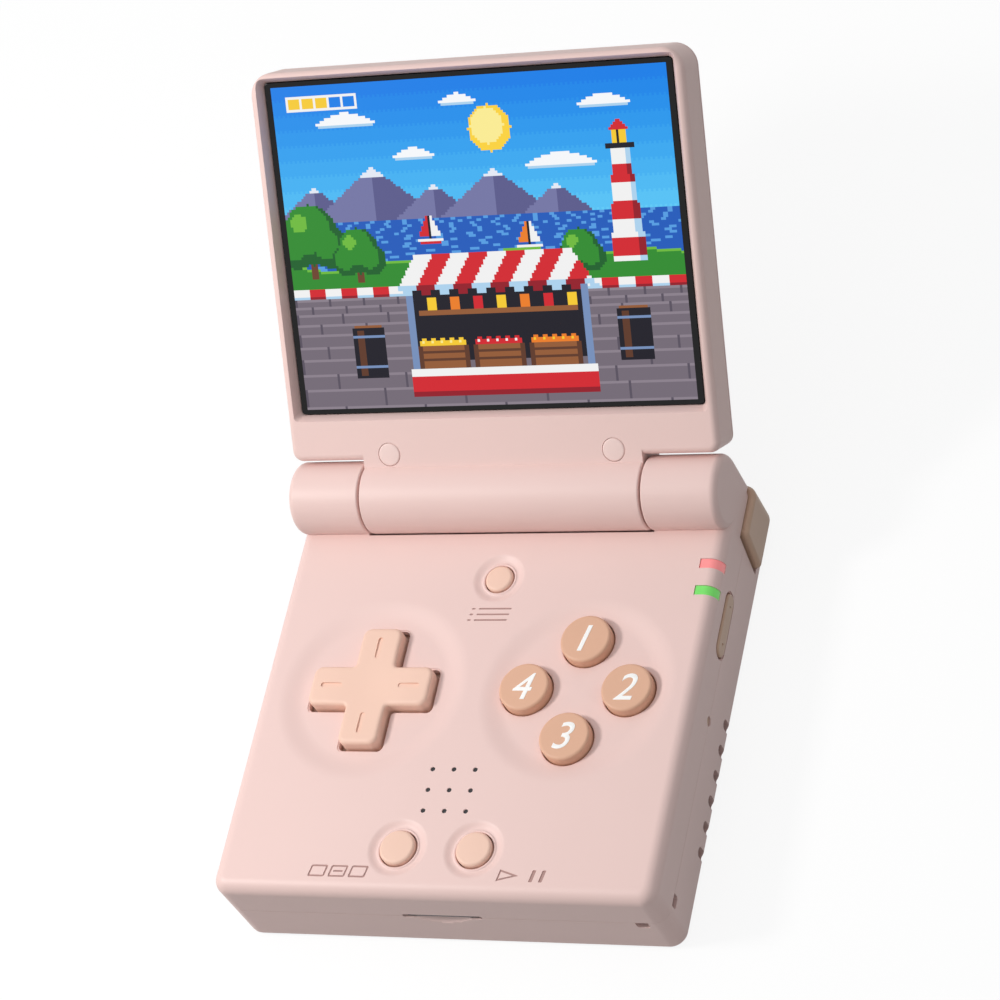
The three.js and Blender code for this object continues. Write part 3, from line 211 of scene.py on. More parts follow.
class LidSizes(PropertyGroup):
    """Sizes of the lid and the screen."""

    near: length(0.0075, "Near edge", "Near edge from the hinge axis")
    far: length(0.0799, "Far edge", "Far edge from the hinge axis")
    near_corner: length(0.002, "Near corner", "Corner radius near the hinge")
    far_corner: length(0.0042, "Far corner", "Corner radius at the far edge")
    face: length(0.0027, "Rim height", "Front of the rim above the hinge axis")
    thickness: length(0.0087, "Thickness", "Thickness of the lid")
    front_edge: length(0.0013, "Front edge", "Rounding of the rim's outer edge")
    back_edge: length(0.0013, "Back edge", "Rounding of the back's outer edge")
    cover: length(0.0013, "Back cover", "Thickness of the back cover")
    cover_gap: length(0.00015, "Back joint", "Gap between the back cover and the bezel")
    glass_half: length(0.04, "Glass half width", "Half width of the screen's glass")
    glass_near: length(0.0162, "Glass near edge", "Glass from the hinge axis")
    glass_far: length(0.078, "Glass far edge", "Glass from the hinge axis")
    glass_corner: length(0.0007, "Glass corner", "Corner radius of the glass")
    recess: length(0.0016, "Recess", "Glass below the rim")
    draft: length(0.0009, "Draft", "Widening of the recess towards the rim")
    glass_gap: length(0.00018, "Glass gap", "Gap round the glass")
    bumper_x: length(0.0223, "Bumper place", "Bumpers from the middle")
    bumper_y: length(0.0086, "Bumper distance", "Bumpers from the hinge axis")
    bumper_radius: length(0.00215, "Bumper radius", "Radius of a bumper")
    bumper_gap: length(0.00006, "Bumper gap", "Gap round a bumper")
    bumper_depth: length(0.001, "Bumper depth", "Depth of a bumper's seat")
    picture_side: length(0.0012, "Picture side", "Black border beside the picture")
    picture_end: length(0.0009, "Picture end", "Black border above and below the picture")


class KeySizes(PropertyGroup):
    """Sizes of the keys."""

    gap: length(0.0002, "Key gap", "Gap round a round key")
    hole_edge: length(0.00022, "Hole edge", "Rounding of a key's hole")
    cap_edge: length(0.00055, "Cap edge", "Rounding of an action button")
    small_edge: length(0.0006, "Small cap edge", "Rounding of a small key")
    action_radius: length(0.00475, "Action radius", "Radius of an action button")
    menu_radius: length(0.00265, "Menu radius", "Radius of the menu button")
    menu_moat: length(0.0052, "Menu dish", "Radius of the dish round it")
    option_radius: length(0.00335, "Option radius", "Radius of the two front keys")
    option_moat: length(0.00585, "Option dish", "Radius of the dishes round them")
    pad_reach: length(0.0119, "Pad reach", "Half length of the direction pad")
    pad_half: length(0.00395, "Pad half width", "Half width of its arms")
    pad_corner: length(0.0017, "Pad corner", "Corner radius of its arms")
    pad_hole_corner: length(0.0011, "Pad hole corner", "Corner radius of the pad's hole")
    pad_fillet: length(0.0007, "Pad fillet", "Radius between two arms")
    pad_edge: length(0.0008, "Pad edge", "Rounding of the pad's top edge")
    pad_gap: length(0.00045, "Pad gap", "Gap round the pad")
    pad_bowl: length(0.009, "Pad hollow", "Radius of the hollow in the pad's top")
    pad_bowl_depth: length(0.00035, "Pad hollow depth", "Depth of that hollow")
    mark_length: length(0.0042, "Mark length", "Length of a mark on the pad")
    mark_width: length(0.0009, "Mark width", "Width of a mark on the pad")
    mark_depth: length(0.0003, "Mark depth", "Depth of a mark on the pad")
    numeral_height: length(0.0075, "Numeral height", "Size of the numerals")
    numeral_weight: length(0.00004, "Numeral weight", "Thickening of the numerals")
    shoulder_edge: length(0.0009, "Shoulder edge", "Rounding of a shoulder button")
    shoulder_low: length(0.0027, "Shoulder foot", "Underside of a shoulder button")
    shoulder_travel: length(0.0008, "Shoulder travel", "Room for a shoulder button's travel")
    shoulder_corner: length(0.0028, "Shoulder corner", "Its outer corner")
    shoulder_end: length(0.00095, "Shoulder end", "Its other corners")
    shoulder_lean: length(0.0019, "Shoulder lean", "How far its front end leans back")
    shoulder_wall: length(0.002, "Shoulder wall", "Its thickness")
    side_edge: length(0.0004, "Side key edge", "Rounding of a side key")
    side_flange: length(0.0009, "Side key flange", "Flange round a side key, inside the case")
    side_recess: length(0.00025, "Side key recess", "Depth of the recess round a side key")
    side_margin: length(0.0005, "Side key margin", "Width of that recess")


class ConsoleColours(PropertyGroup):
    """Colours of the console."""

    shell: colour((236, 205, 199), "Case", "Moulded case")
    key_tan: colour((225, 177, 149), "Action buttons", "Action buttons")
    key_peach: colour((242, 203, 184), "Pad", "Direction pad and small keys")
    shoulder: colour((201, 166, 142), "Shoulder buttons", "Shoulder and side keys")
    bumper: colour((240, 212, 206), "Bumpers", "Bumpers beside the hinge")
    mark: colour((176, 140, 134), "Marks", "Engraved marks beside the keys")
    numeral: colour((255, 254, 252), "Numerals", "Numerals on the action buttons")
    glass: colour((10, 10, 12), "Glass", "Border of the screen")
    light_red: colour((244, 140, 140), "Red light", "Red indicator")
    light_green: colour((112, 214, 96), "Green light", "Green indicator")
    steel: colour((185, 186, 189), "Steel", "Screws and sockets")
    rubber: colour((141, 138, 136), "Rubber", "Membranes")
    board: colour((31, 79, 58), "Circuit board", "Circuit boards")
    dark: colour((35, 36, 39), "Dark plastic", "Sockets and card")
    copper: colour((178, 122, 60), "Flat cable", "Flat cable")
    wrap: colour((91, 96, 104), "Battery", "Battery wrap")


class StageSettings(PropertyGroup):
    """Camera, lamps and floor."""

    camera_place: FloatVectorProperty(
        name="Camera place",
        description="Where the camera stands",
        default=(0.28291, -0.30400, 0.56286),
        subtype="TRANSLATION",
        unit="LENGTH",
    )
    camera_azimuth: FloatProperty(
        name="Camera azimuth",
        description="Turn of the camera round the upright axis",
        default=math.radians(40),
        subtype="ANGLE",
    )
    camera_elevation: FloatProperty(
        name="Camera elevation",
        description="Height of the camera as an angle",
        default=math.radians(50.7),
        subtype="ANGLE",
    )
    camera_roll: FloatProperty(
        name="Camera roll",
        description="Roll of the camera about its view",
        default=math.radians(-33.94),
        subtype="ANGLE",
    )
    camera_lens: FloatProperty(
        name="Lens", description="Focal length in millimetres", default=137.73, min=1
    )
    sky: FloatProperty(
        name="Sky", description="Strength of the even light", default=0.39, min=0
    )
    sky_tint: FloatVectorProperty(
        name="Sky tint",
        description="Colour of the even light",
        default=(0.94, 0.98, 1.0),
        subtype="COLOR",
        min=0,
        max=1,
    )
    floor_size: length(6.0, "Floor", "Width of the floor")
    floor_bounce: FloatProperty(
        name="Floor bounce",
        description="Share of light that the floor throws back at the console",
        default=0.36,
        min=0,
        max=1,
    )
    floor_glow: FloatProperty(
        name="Floor glow",
        description="Part of the floor's white that no shadow darkens",
        default=0.88,
        min=0,
        max=1,
    )


# Shapes. Each function returns a bmesh or a list of points.


def arc(x, y, radius, start, end, steps=CORNER_STEPS):
    """Points on an arc, both ends included. Angles are in degrees."""
    angles = [math.radians(start + (end - start) * i / steps) for i in range(steps + 1)]
    return [(x + radius * math.cos(a), y + radius * math.sin(a)) for a in angles]


def rounded_outline(left, right, low, high, radius, high_radius=None):
    """A rectangle with round corners."""
    top = radius if high_radius is None else high_radius
    return [
        *arc(right - radius, low + radius, radius, -90, 0),
        *arc(right - top, high - top, top, 0, 90),
        *arc(left + top, high - top, top, 90, 180),
        *arc(left + radius, low + radius, radius, 180, 270),
    ]


def stadium_outline(x, y, long, wide):
    """A slot with round ends, along the first axis."""
    radius = wide / 2
    reach = long / 2 - radius
    return [
        *arc(x + reach, y, radius, -90, 90, 2 * CORNER_STEPS),
        *arc(x - reach, y, radius, 90, 270, 2 * CORNER_STEPS),
    ]


def cross_outline(x, y, reach, half, corner, fillet):
    """Four equal arms with round corners and round inner corners."""
    inner = half + fillet
    arm = [
        *reversed(arc(inner, -inner, fillet, 90, 180, CORNER_STEPS // 2)),
        *arc(reach - corner, corner - half, corner, -90, 0),
        *arc(reach - corner, half - corner, corner, 0, 90),
    ]
    turns = [Matrix.Rotation(math.radians(90 * i), 2) for i in range(4)]
    return [tuple(turn @ Vector(p) + Vector((x, y))) for turn in turns for p in arm]


AXIS_TURNS = {
    "X": Matrix(((0, 0, 1, 0), (1, 0, 0, 0), (0, 1, 0, 0), (0, 0, 0, 1))),
    "Y": Matrix(((0, 1, 0, 0), (0, 0, 1, 0), (1, 0, 0, 0), (0, 0, 0, 1))),
    "Z": Matrix.Identity(4),
}


def prism(outline, low, high, axis="Z", widen=None):
    """An outline run between two places on an axis: Y and Z along X, Z and X along Y.

    widen scales the outline at its far end about the origin, in two directions.
    """
    bm = bmesh.new()
    face = bm.faces.new([bm.verts.new((x, y, low)) for x, y in outline])
    made = bmesh.ops.extrude_face_region(bm, geom=[face])
    top = [v for v in made["geom"] if isinstance(v, bmesh.types.BMVert)]
    bmesh.ops.translate(bm, verts=top, vec=(0, 0, high - low))
    if widen:
        centre = Vector(np.mean([v.co for v in top], axis=0))
        bmesh.ops.scale(bm, verts=top, vec=(*widen, 1), space=Matrix.Translation(-centre))
    rim = [e for e in bm.edges if e.is_boundary]
    if rim:
        bmesh.ops.holes_fill(bm, edges=rim)
    bmesh.ops.transform(bm, matrix=AXIS_TURNS[axis], verts=bm.verts)
    bmesh.ops.recalc_face_normals(bm, faces=bm.faces)
    return bm


def box(left, right, front, back, low, high):
    """A plain block, used as a cutter or joined to something."""
    corners = [(left, front), (right, front), (right, back), (left, back)]
    return prism(corners, low, high)


def turned(profile, place=(0, 0, 0), axis="Z", steps=ROUND_STEPS):
    """A solid turned from points of radius and height, at a place, along an axis."""
    bm = bmesh.new()
    verts = [bm.verts.new((radius, 0, height)) for radius, height in profile]
    edges = [bm.edges.new(pair) for pair in zip(verts, verts[1:])]
    if profile[0][0] > 0 or profile[-1][0] > 0:
        edges.append(bm.edges.new((verts[-1], verts[0])))
    bmesh.ops.spin(
        bm,
        geom=verts + edges,
        cent=(0, 0, 0),
        axis=(0, 0, 1),
        angle=math.tau,
        steps=steps,
        use_merge=True,
    )
    bmesh.ops.remove_doubles(bm, verts=bm.verts, dist=SEAM_TOLERANCE)
    turn = Matrix.Translation(place) @ AXIS_TURNS[axis]
    bmesh.ops.transform(bm, matrix=turn, verts=bm.verts)
    bmesh.ops.recalc_face_normals(bm, faces=bm.faces)
    return bm


def rod(radius, low, high, place=(0, 0, 0), axis="Z", steps=SMALL_STEPS):
    """A plain round bar."""
    profile = [(0, low), (radius, low), (radius, high), (0, high)]
    return turned(profile, place, axis, steps)


def smooth_step(share):
    """A slope that starts and ends level."""
    return (1 - math.cos(math.pi * share)) / 2


def edges_on(bm, axis, place):
    """Edges that lie in a plane across an axis, 0 to 2 for X to Z."""
    return [
        e
        for e in bm.edges
        if all(abs(v.co[axis] - place) < SEAM_TOLERANCE for v in e.verts)
    ]


def round_edges(bm, edges, radius, segments=6):
    """Rounds edges in place."""
    bmesh.ops.bevel(
        bm,
        geom=edges,
        offset=radius,
        offset_type="OFFSET",
        segments=segments,
        profile=0.5,
        affect="EDGES",
        clamp_overlap=False,
        material=-1,
    )
    return bm


def mirrored(bm):
    """The same shape on the other side of the console."""
    copy = bm.copy()
    bmesh.ops.scale(copy, verts=copy.verts, vec=(-1, 1, 1))
    bmesh.ops.reverse_faces(copy, faces=copy.faces)
    return copy


def as_object(bm, name):
    """A linked object that holds a bmesh."""
    mesh = bpy.data.meshes.new(name)
    bm.to_mesh(mesh)
    bm.free()
    made = bpy.data.objects.new(name, mesh)
    bpy.context.scene.collection.objects.link(made)
    return made


def combined(bm, others, operation):
    """Cuts, joins or intersects solids."""
    if not others:
        return bm
    holder = bpy.data.collections.new("tools")
    bpy.context.scene.collection.children.link(holder)
    tools = [as_object(other, "tool") for other in others]
    for tool in tools:
        bpy.context.scene.collection.objects.unlink(tool)
        holder.objects.link(tool)
    work = as_object(bm, "work")
    modifier = work.modifiers.new("Solids", "BOOLEAN")
    modifier.solver = "EXACT"
    modifier.operation = operation
    modifier.operand_type = "COLLECTION"
    modifier.collection = holder
    depsgraph = bpy.context.evaluated_depsgraph_get()
    result = bmesh.new()
    result.from_mesh(work.evaluated_get(depsgraph).to_mesh())
    for made in [work, *tools]:
        bpy.data.meshes.remove(made.data)
    bpy.data.collections.remove(holder)
    bmesh.ops.remove_doubles(result, verts=result.verts, dist=SEAM_TOLERANCE / 4)
    return result


def cut(bm, *cutters):
    """A solid without the cutters."""
    return combined(bm, list(cutters), "DIFFERENCE")


def joined(bm, *others):
    """Several solids as one."""
    return combined(bm, list(others), "UNION")


def common(bm, other):
    """What two solids share."""
    return combined(bm, [other], "INTERSECT")


# Places


def middle(node):
    """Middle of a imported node's box."""
    low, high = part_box(node)
    return (low + high) / 2


def hinge_joint():
    """The lid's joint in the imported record."""
    return next(joint for joint in frame["joints"] if joint["child"] == "lid")


def hinge_place():
    """Middle of the hinge axis."""
    return Vector(hinge_joint()["pos_m"])


def lid_matrix():
    """From the lid's own frame to the console's, with the lid as it is drawn."""
    closing = math.radians(hinge_joint()["range_deg"][1])
    return Matrix.Translation(hinge_place()) @ Matrix.Rotation(math.pi - closing, 4, "X")


def case_extent():
    """Half width, half depth and height of the base's flat top."""
    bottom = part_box("base_bottom_shell")[1]
    return bottom.x, bottom.y, hinge_place().z - HINGE_ABOVE_TOP


# Materials


def node_group(name, inputs, outputs):
    """An empty shader group. Inputs are (name, kind, default); outputs are (name, kind)."""
    group = bpy.data.node_groups.new(name, "ShaderNodeTree")
    for label, kind, default in inputs:
        socket = group.interface.new_socket(label, in_out="INPUT", socket_type=kind)
        socket.default_value = default
    for label, kind in outputs:
        group.interface.new_socket(label, in_out="OUTPUT", socket_type=kind)
    return group


def chain(tree, kind, **settings):
    """A node with its properties and inputs set; an input may be a socket or a value."""
    node = tree.nodes.new(kind)
    inputs = settings.pop("inputs", {})
    for name, value in settings.items():
        setattr(node, name, value)
    for name, value in inputs.items():
        if isinstance(value, bpy.types.NodeSocket):
            tree.links.new(value, node.inputs[name])
        else:
            node.inputs[name].default_value = value
    return node


def moulding_group():
    """Fine grain and slight unevenness of moulded plastic."""
    existing = bpy.data.node_groups.get("Moulding")
    if existing:
        return existing
    group = node_group(
        "Moulding",
        [
            ("Colour", "NodeSocketColor", (0.8, 0.8, 0.8, 1)),
            ("Grain Size", "NodeSocketFloat", 2600.0),
            ("Grain Height", "NodeSocketFloat", 0.1),
            ("Roughness", "NodeSocketFloat", 0.5),
            ("Unevenness", "NodeSocketFloat", 0.04),
        ],
        [
            ("Colour", "NodeSocketColor"),
            ("Roughness", "NodeSocketFloat"),
            ("Normal", "NodeSocketVector"),
        ],
    )
    start = group.nodes.new("NodeGroupInput")
    end = group.nodes.new("NodeGroupOutput")
    place = group.nodes.new("ShaderNodeTexCoord").outputs["Object"]
    grain = chain(
        group,
        "ShaderNodeTexNoise",
        inputs={"Vector": place, "Scale": start.outputs["Grain Size"], "Detail": 3.0},
    ).outputs["Fac"]
    cloud = chain(
        group, "ShaderNodeTexNoise", inputs={"Vector": place, "Scale": 55.0, "Detail": 2.0}
    ).outputs["Fac"]
    swing = chain(
        group,
        "ShaderNodeMapRange",
        inputs={"Value": cloud, "From Min": 0.3, "From Max": 0.7, "To Min": -1.0},
    ).outputs["Result"]
    shade = chain(
        group,
        "ShaderNodeMath",
        operation="MULTIPLY_ADD",
        inputs={0: swing, 1: start.outputs["Unevenness"], 2: 1.0},
    ).outputs[0]
    tinted = chain(
        group,
        "ShaderNodeVectorMath",
        operation="SCALE",
        inputs={0: start.outputs["Colour"], "Scale": shade},
    ).outputs["Vector"]
    gloss = chain(
        group,
        "ShaderNodeMath",
        operation="MULTIPLY_ADD",
        inputs={0: grain, 1: 0.12, 2: start.outputs["Roughness"]},
    ).outputs[0]
    bump = chain(
        group,
        "ShaderNodeBump",
        inputs={"Height": grain, "Strength": start.outputs["Grain Height"], "Distance": 0.0001},
    ).outputs["Normal"]
    group.links.new(tinted, end.inputs["Colour"])
    group.links.new(gloss, end.inputs["Roughness"])
    group.links.new(bump, end.inputs["Normal"])
    return group


def empty_material(name):
    """A material with only its output and a Principled shader."""
    material = bpy.data.materials.new(name)
    material.use_nodes = True
    tree = material.node_tree
    shader = tree.nodes["Principled BSDF"]
    return material, tree, shader


def moulded(name, base, roughness=0.5, grain=2600.0, height=0.1, uneven=0.02, coat=0.0):
    """Moulded plastic or rubber."""
    existing = bpy.data.materials.get(name)
    if existing:
        return existing
    material, tree, shader = empty_material(name)
    values = {
        "Colour": (*base, 1),
        "Grain Size": grain,
        "Grain Height": height,
        "Roughness": roughness - 0.06,
        "Unevenness": uneven,
    }
    group = chain(tree, "ShaderNodeGroup", node_tree=moulding_group(), inputs=values)
    tree.links.new(group.outputs["Colour"], shader.inputs["Base Color"])
    tree.links.new(group.outputs["Roughness"], shader.inputs["Roughness"])
    tree.links.new(group.outputs["Normal"], shader.inputs["Normal"])
    shader.inputs["Coat Weight"].default_value = coat
    shader.inputs["Coat Roughness"].default_value = 0.2
    shader.inputs["Specular IOR Level"].default_value = 0.4
    return material


def brushed(name, base, roughness=0.35):
    """Plain metal with fine scratches along one way."""
    existing = bpy.data.materials.get(name)
    if existing:
        return existing
    material, tree, shader = empty_material(name)
    place = tree.nodes.new("ShaderNodeTexCoord").outputs["Object"]
    stretched = chain(
        tree, "ShaderNodeMapping", inputs={"Vector": place, "Scale": (900.0, 9000.0, 900.0)}
    ).outputs["Vector"]
    lines = chain(
        tree, "ShaderNodeTexNoise", inputs={"Vector": stretched, "Scale": 1.0, "Detail": 2.0}
    ).outputs["Fac"]
    gloss = chain(
        tree,
        "ShaderNodeMapRange",
        inputs={"Value": lines, "To Min": roughness - 0.08, "To Max": roughness + 0.12},
    ).outputs["Result"]
    ramp = chain(tree, "ShaderNodeValToRGB", inputs={"Fac": lines})
    ramp.color_ramp.elements[0].color = (*[c * 0.8 for c in base], 1)
    ramp.color_ramp.elements[1].color = (*base, 1)
    tree.links.new(ramp.outputs["Color"], shader.inputs["Base Color"])
    tree.links.new(gloss, shader.inputs["Roughness"])
    shader.inputs["Metallic"].default_value = 1
    return material


def circuit(name, base):
    """Circuit board with a lighter pattern of tracks and pads."""
    existing = bpy.data.materials.get(name)
    if existing:
        return existing
    material, tree, shader = empty_material(name)
    place = tree.nodes.new("ShaderNodeTexCoord").outputs["Object"]
    cells = chain(
        tree,
        "ShaderNodeTexVoronoi",
        distance="MANHATTAN",
        feature="F1",
        inputs={"Vector": place, "Scale": 420.0},
    ).outputs["Distance"]
    ramp = chain(tree, "ShaderNodeValToRGB", inputs={"Fac": cells})
    ramp.color_ramp.interpolation = "CONSTANT"
    ramp.color_ramp.elements[0].color = (*[min(1, c * 3) for c in base], 1)
    ramp.color_ramp.elements[1].position = 0.16
    ramp.color_ramp.elements[1].color = (*base, 1)
    tree.links.new(ramp.outputs["Color"], shader.inputs["Base Color"])
    shader.inputs["Roughness"].default_value = 0.4
    return material


def lamp_plastic(name, base):
    """Coloured clear plastic with a faint glow from the lamp under it."""
    material, tree, shader = empty_material(name)
    place = tree.nodes.new("ShaderNodeTexCoord").outputs["Object"]
    cloud = chain(
        tree, "ShaderNodeTexNoise", inputs={"Vector": place, "Scale": 700.0}
    ).outputs["Fac"]
    ramp = chain(tree, "ShaderNodeValToRGB", inputs={"Fac": cloud})
    ramp.color_ramp.elements[0].color = (*[c * 0.85 for c in base], 1)
    ramp.color_ramp.elements[1].color = (*base, 1)
    tree.links.new(ramp.outputs["Color"], shader.inputs["Base Color"])
    tree.links.new(ramp.outputs["Color"], shader.inputs["Emission Color"])
    shader.inputs["Emission Strength"].default_value = 0.28
    shader.inputs["Roughness"].default_value = 0.32
    return material


def glass_material(base):
    """Black glass with a trace of unevenness in its gloss."""
    material, tree, shader = empty_material("Screen glass")
    place = tree.nodes.new("ShaderNodeTexCoord").outputs["Object"]
    smear = chain(
        tree, "ShaderNodeTexNoise", inputs={"Vector": place, "Scale": 60.0, "Detail": 4.0}
    ).outputs["Fac"]
    gloss = chain(
        tree, "ShaderNodeMapRange", inputs={"Value": smear, "To Min": 0.06, "To Max": 0.14}
    ).outputs["Result"]
    tree.links.new(gloss, shader.inputs["Roughness"])
    shader.inputs["Base Color"].default_value = (*base, 1)
    shader.inputs["Specular IOR Level"].default_value = 0.25
    return material


def picture_material():
    """The lit screen: each dot has its own colour, kept on the mesh."""
    material, tree, shader = empty_material("Screen picture")
    dots = chain(tree, "ShaderNodeAttribute", attribute_name="dots").outputs["Color"]
    shader.inputs["Base Color"].default_value = (0.004, 0.004, 0.005, 1)
    tree.links.new(dots, shader.inputs["Emission Color"])
    shader.inputs["Emission Strength"].default_value = 0.94
    shader.inputs["Roughness"].default_value = 0.35
    shader.inputs["Specular IOR Level"].default_value = 0.12
    return material


def shell_material():
    """The case's plastic."""
    shade = bpy.context.scene.console_colours.shell
    return moulded("Moulded plastic", shade, roughness=0.46, height=0.07, uneven=0.006)


def finish_piece(bm, name, body, material, nodes=(), sharp=40):
    """Turns a bmesh into a finished piece that rides on a body and stands for nodes."""
    piece = as_object(bm, name)
    piece.data.shade_smooth()
    piece.data.set_sharp_from_angle(angle=math.radians(sharp))
    even = piece.modifiers.new("Even shading", "WEIGHTED_NORMAL")
    even.keep_sharp = True
    piece.data.materials.append(material)
    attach(piece, body)
    if nodes:
        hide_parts(*nodes)
    return piece


# Case


def knuckle_block(case):
    """The hinge's whole round bar, with the back wall that carries it."""
    half_width, half_depth, _ = case_extent()
    hinge = hinge_place()
    outline = [
        *arc(hinge.y, hinge.z, case.hinge_radius, 0, 240, ROUND_STEPS // 2),
        (hinge.y, case.knuckle_low),
        (half_depth, case.knuckle_low),
    ]
    bar = prism(outline, -half_width, half_width, "X")
    ends = edges_on(bar, 0, half_width) + edges_on(bar, 0, -half_width)
    return round_edges(bar, ends, case.end_edge, 8)


def case_block(case):
    """The base's outer form with the hinge knuckles, before it is hollowed."""
    half_width, half_depth, height = case_extent()
    plan = rounded_outline(-half_width, half_width, -half_depth, half_depth, case.corner)
    body = prism(plan, 0, height)
    round_edges(body, edges_on(body, 2, height), case.top_edge, 10)
    round_edges(body, edges_on(body, 2, 0), case.low_edge)
    return joined(body, knuckle_block(case))


def half_block(case, upper):
    """The block above or below the joint, with its rim slightly rounded."""
    bm = case_block(case)
    height = case.parting + (case.parting_gap / 2 if upper else -case.parting_gap / 2)
    made = bmesh.ops.bisect_plane(
        bm,
        geom=[*bm.verts, *bm.edges, *bm.faces],
        plane_co=(0, 0, height),
        plane_no=(0, 0, 1),
        clear_inner=upper,
        clear_outer=not upper,
    )
    rim = [e for e in made["geom_cut"] if isinstance(e, bmesh.types.BMEdge)]
    bmesh.ops.edgeloop_fill(bm, edges=rim)
    bmesh.ops.recalc_face_normals(bm, faces=bm.faces)
    edge = case.seam_fine if upper else case.seam_edge
    return round_edges(bm, edges_on(bm, 2, height), edge, 3)


def case_cavity(case):
    """The room inside both shells, which stops at the barrel's cradle."""
    half_width, half_depth, height = case_extent()
    x = half_width - case.wall
    y = half_depth - case.wall
    plan = rounded_outline(-x, x, -y, y, case.corner - case.wall)
    room = prism(plan, case.floor_wall, height - case.top_wall)
    radius = case.hinge_radius + case.cradle_gap + case.cradle_wall
    return cut(room, rod(radius, -2 * x, 2 * x, hinge_place(), "X"))


def barrel_room(case):
    """Room for the lid's barrel, which leaves a rounded edge on each knuckle."""
    inner = case.hinge_radius - case.knuckle_edge
    start = case.barrel_half + case.knuckle_gap
    outer = case.hinge_radius + case.cradle_gap
    lip = start + case.knuckle_edge
    flare = arc(inner, lip, case.knuckle_edge, -90, 0, 4)
    side = [(0, start), *flare, (outer, lip)]
    return turned([(r, -h) for r, h in side] + side[::-1], hinge_place(), "X")


def hinge_cutters(case):
    """Everything that is cut for the hinge."""
    half_width = case_extent()[0]
    hinge = hinge_place()
    start = case.barrel_half + case.knuckle_gap
    bore_high = half_width - case.bore_end
    low = hinge.z - case.relief_drop
    return [
        barrel_room(case),
        box(-start, start, hinge.y, hinge.y + 5 * OVERRUN, low, hinge.z + 5 * OVERRUN),
        rod(case.bore_radius, start - OVERRUN, bore_high, hinge, "X"),
        rod(case.bore_radius, -bore_high, OVERRUN - start, hinge, "X"),
    ]


def dish_cutter(case, place):
    """A shallow round dish with a soft slope."""
    height = case_extent()[2]
    flat = case.dish_radius - case.dish_ramp
    steps = 2 * CORNER_STEPS
    slope = [
        (
            flat + case.dish_ramp * i / steps,
            height - case.dish_depth * (1 - smooth_step(i / steps)),
        )
        for i in range(steps + 1)
    ]
    high = height + OVERRUN
    profile = [(0, height - case.dish_depth), *slope, (case.dish_radius, high), (0, high)]
    return turned(profile, (place.x, place.y, 0), steps=2 * ROUND_STEPS)


def key_hole(keys, place, radius, surface, low):
    """A round hole with a rounded edge at the surface."""
    hole = radius + keys.gap
    flare = arc(hole + keys.hole_edge, surface - keys.hole_edge, keys.hole_edge, 180, 90, 4)
    high = surface + OVERRUN
    profile = [(0, low), (hole, low), *flare, (flare[-1][0], high), (0, high)]
    return turned(profile, (place.x, place.y, 0))


def moat_cutter(case, keys, place, radius, moat):
    """A round dish about a small key, with a low ring round the key's hole."""
    height = case_extent()[2]
    floor = height - case.moat_depth
    ring = radius + keys.gap + case.lip_width
    soft = 2 * case.lip_rise
    steps = 2 * CORNER_STEPS
    shares = [i / steps for i in range(steps + 1)]
    lip = [(ring - soft + soft * s, floor + case.lip_rise * smooth_step(1 - s)) for s in shares]
    ramp = [(ring + (moat - ring) * s, floor + case.moat_depth * smooth_step(s)) for s in shares]
    high = height + OVERRUN
    profile = [(0, floor + case.lip_rise), *lip, *ramp[1:], (moat, high), (0, high)]
    return turned(profile, (place.x, place.y, 0), steps=2 * ROUND_STEPS)


def pad_hole(case, keys):
    """The direction pad's hole, with a slightly rounded edge."""
    height = case_extent()[2]
    place = middle("direction_pad")
    shape = (keys.pad_reach + keys.pad_gap, keys.pad_half + keys.pad_gap)
    through = cross_outline(place.x, place.y, *shape, keys.pad_hole_corner, keys.pad_fillet)
    wide = [size + keys.hole_edge for size in shape]
    flared = cross_outline(place.x, place.y, *wide, keys.pad_hole_corner, keys.pad_fillet)
    floor = height - case.dish_depth
    low = floor - keys.hole_edge
    edge = prism(flared, low, height + OVERRUN)
    round_edges(edge, edges_on(edge, 2, low), keys.hole_edge * NEARLY_SHARE, 3)
    return [prism(through, height - OVERRUN, floor), edge]


def speaker_cutters(case):
    """Three rows of three small holes."""
    height = case_extent()[2]
    steps = [(i - 1) * case.speaker_pitch for i in range(3)]
    radius, edge = case.speaker_hole, case.speaker_edge
    flare = arc(radius + edge, height - edge, edge, 180, 90, 3)
    low, high = height - OVERRUN, height + OVERRUN
    profile = [(0, low), (radius, low), *flare, (radius + edge, high), (0, high)]
    return [
        turned(profile, (x, case.speaker_y + y, 0), steps=24) for x in steps for y in steps
    ]


def light_windows():
    """The two indicator windows: node, middle along Y, half width and left side."""
    found = []
    for name in ("light_pipe_red", "light_pipe_green"):
        low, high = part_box(name)
        found.append((name, (low.y + high.y) / 2, (high.y - low.y) / 2, low.x))
    return found


def light_cutters(case):
    """Slots over the rounded edge for the indicator windows."""
    half_width, _, height = case_extent()
    return [
        box(
            left - FIT_GAP / 2,
            half_width + OVERRUN,
            y - half - FIT_GAP / 4,
            y + half + FIT_GAP / 4,
            height - case.light_drop,
            height + OVERRUN,
        )
        for _, y, half, left in light_windows()
    ]


def side_cutters(node, keys):
    """A stadium hole for a side key with a shallow recess round it."""
    half_width = case_extent()[0]
    low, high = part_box(node)
    place = middle(node)
    side = math.copysign(1, place.x)
    long = high.y - low.y - 2 * keys.side_flange
    wide = high.z - low.z - 2 * keys.side_flange
    steps = ((FIT_GAP, OVERRUN / 2), (keys.side_margin, keys.side_recess))
    cutters = []
    for margin, depth in steps:
        outline = stadium_outline(place.y, place.z, long + 2 * margin, wide + 2 * margin)
        ends = sorted((side * (half_width - depth), side * (half_width + OVERRUN)))
        cutters.append(prism(outline, *ends, "X"))
    return cutters


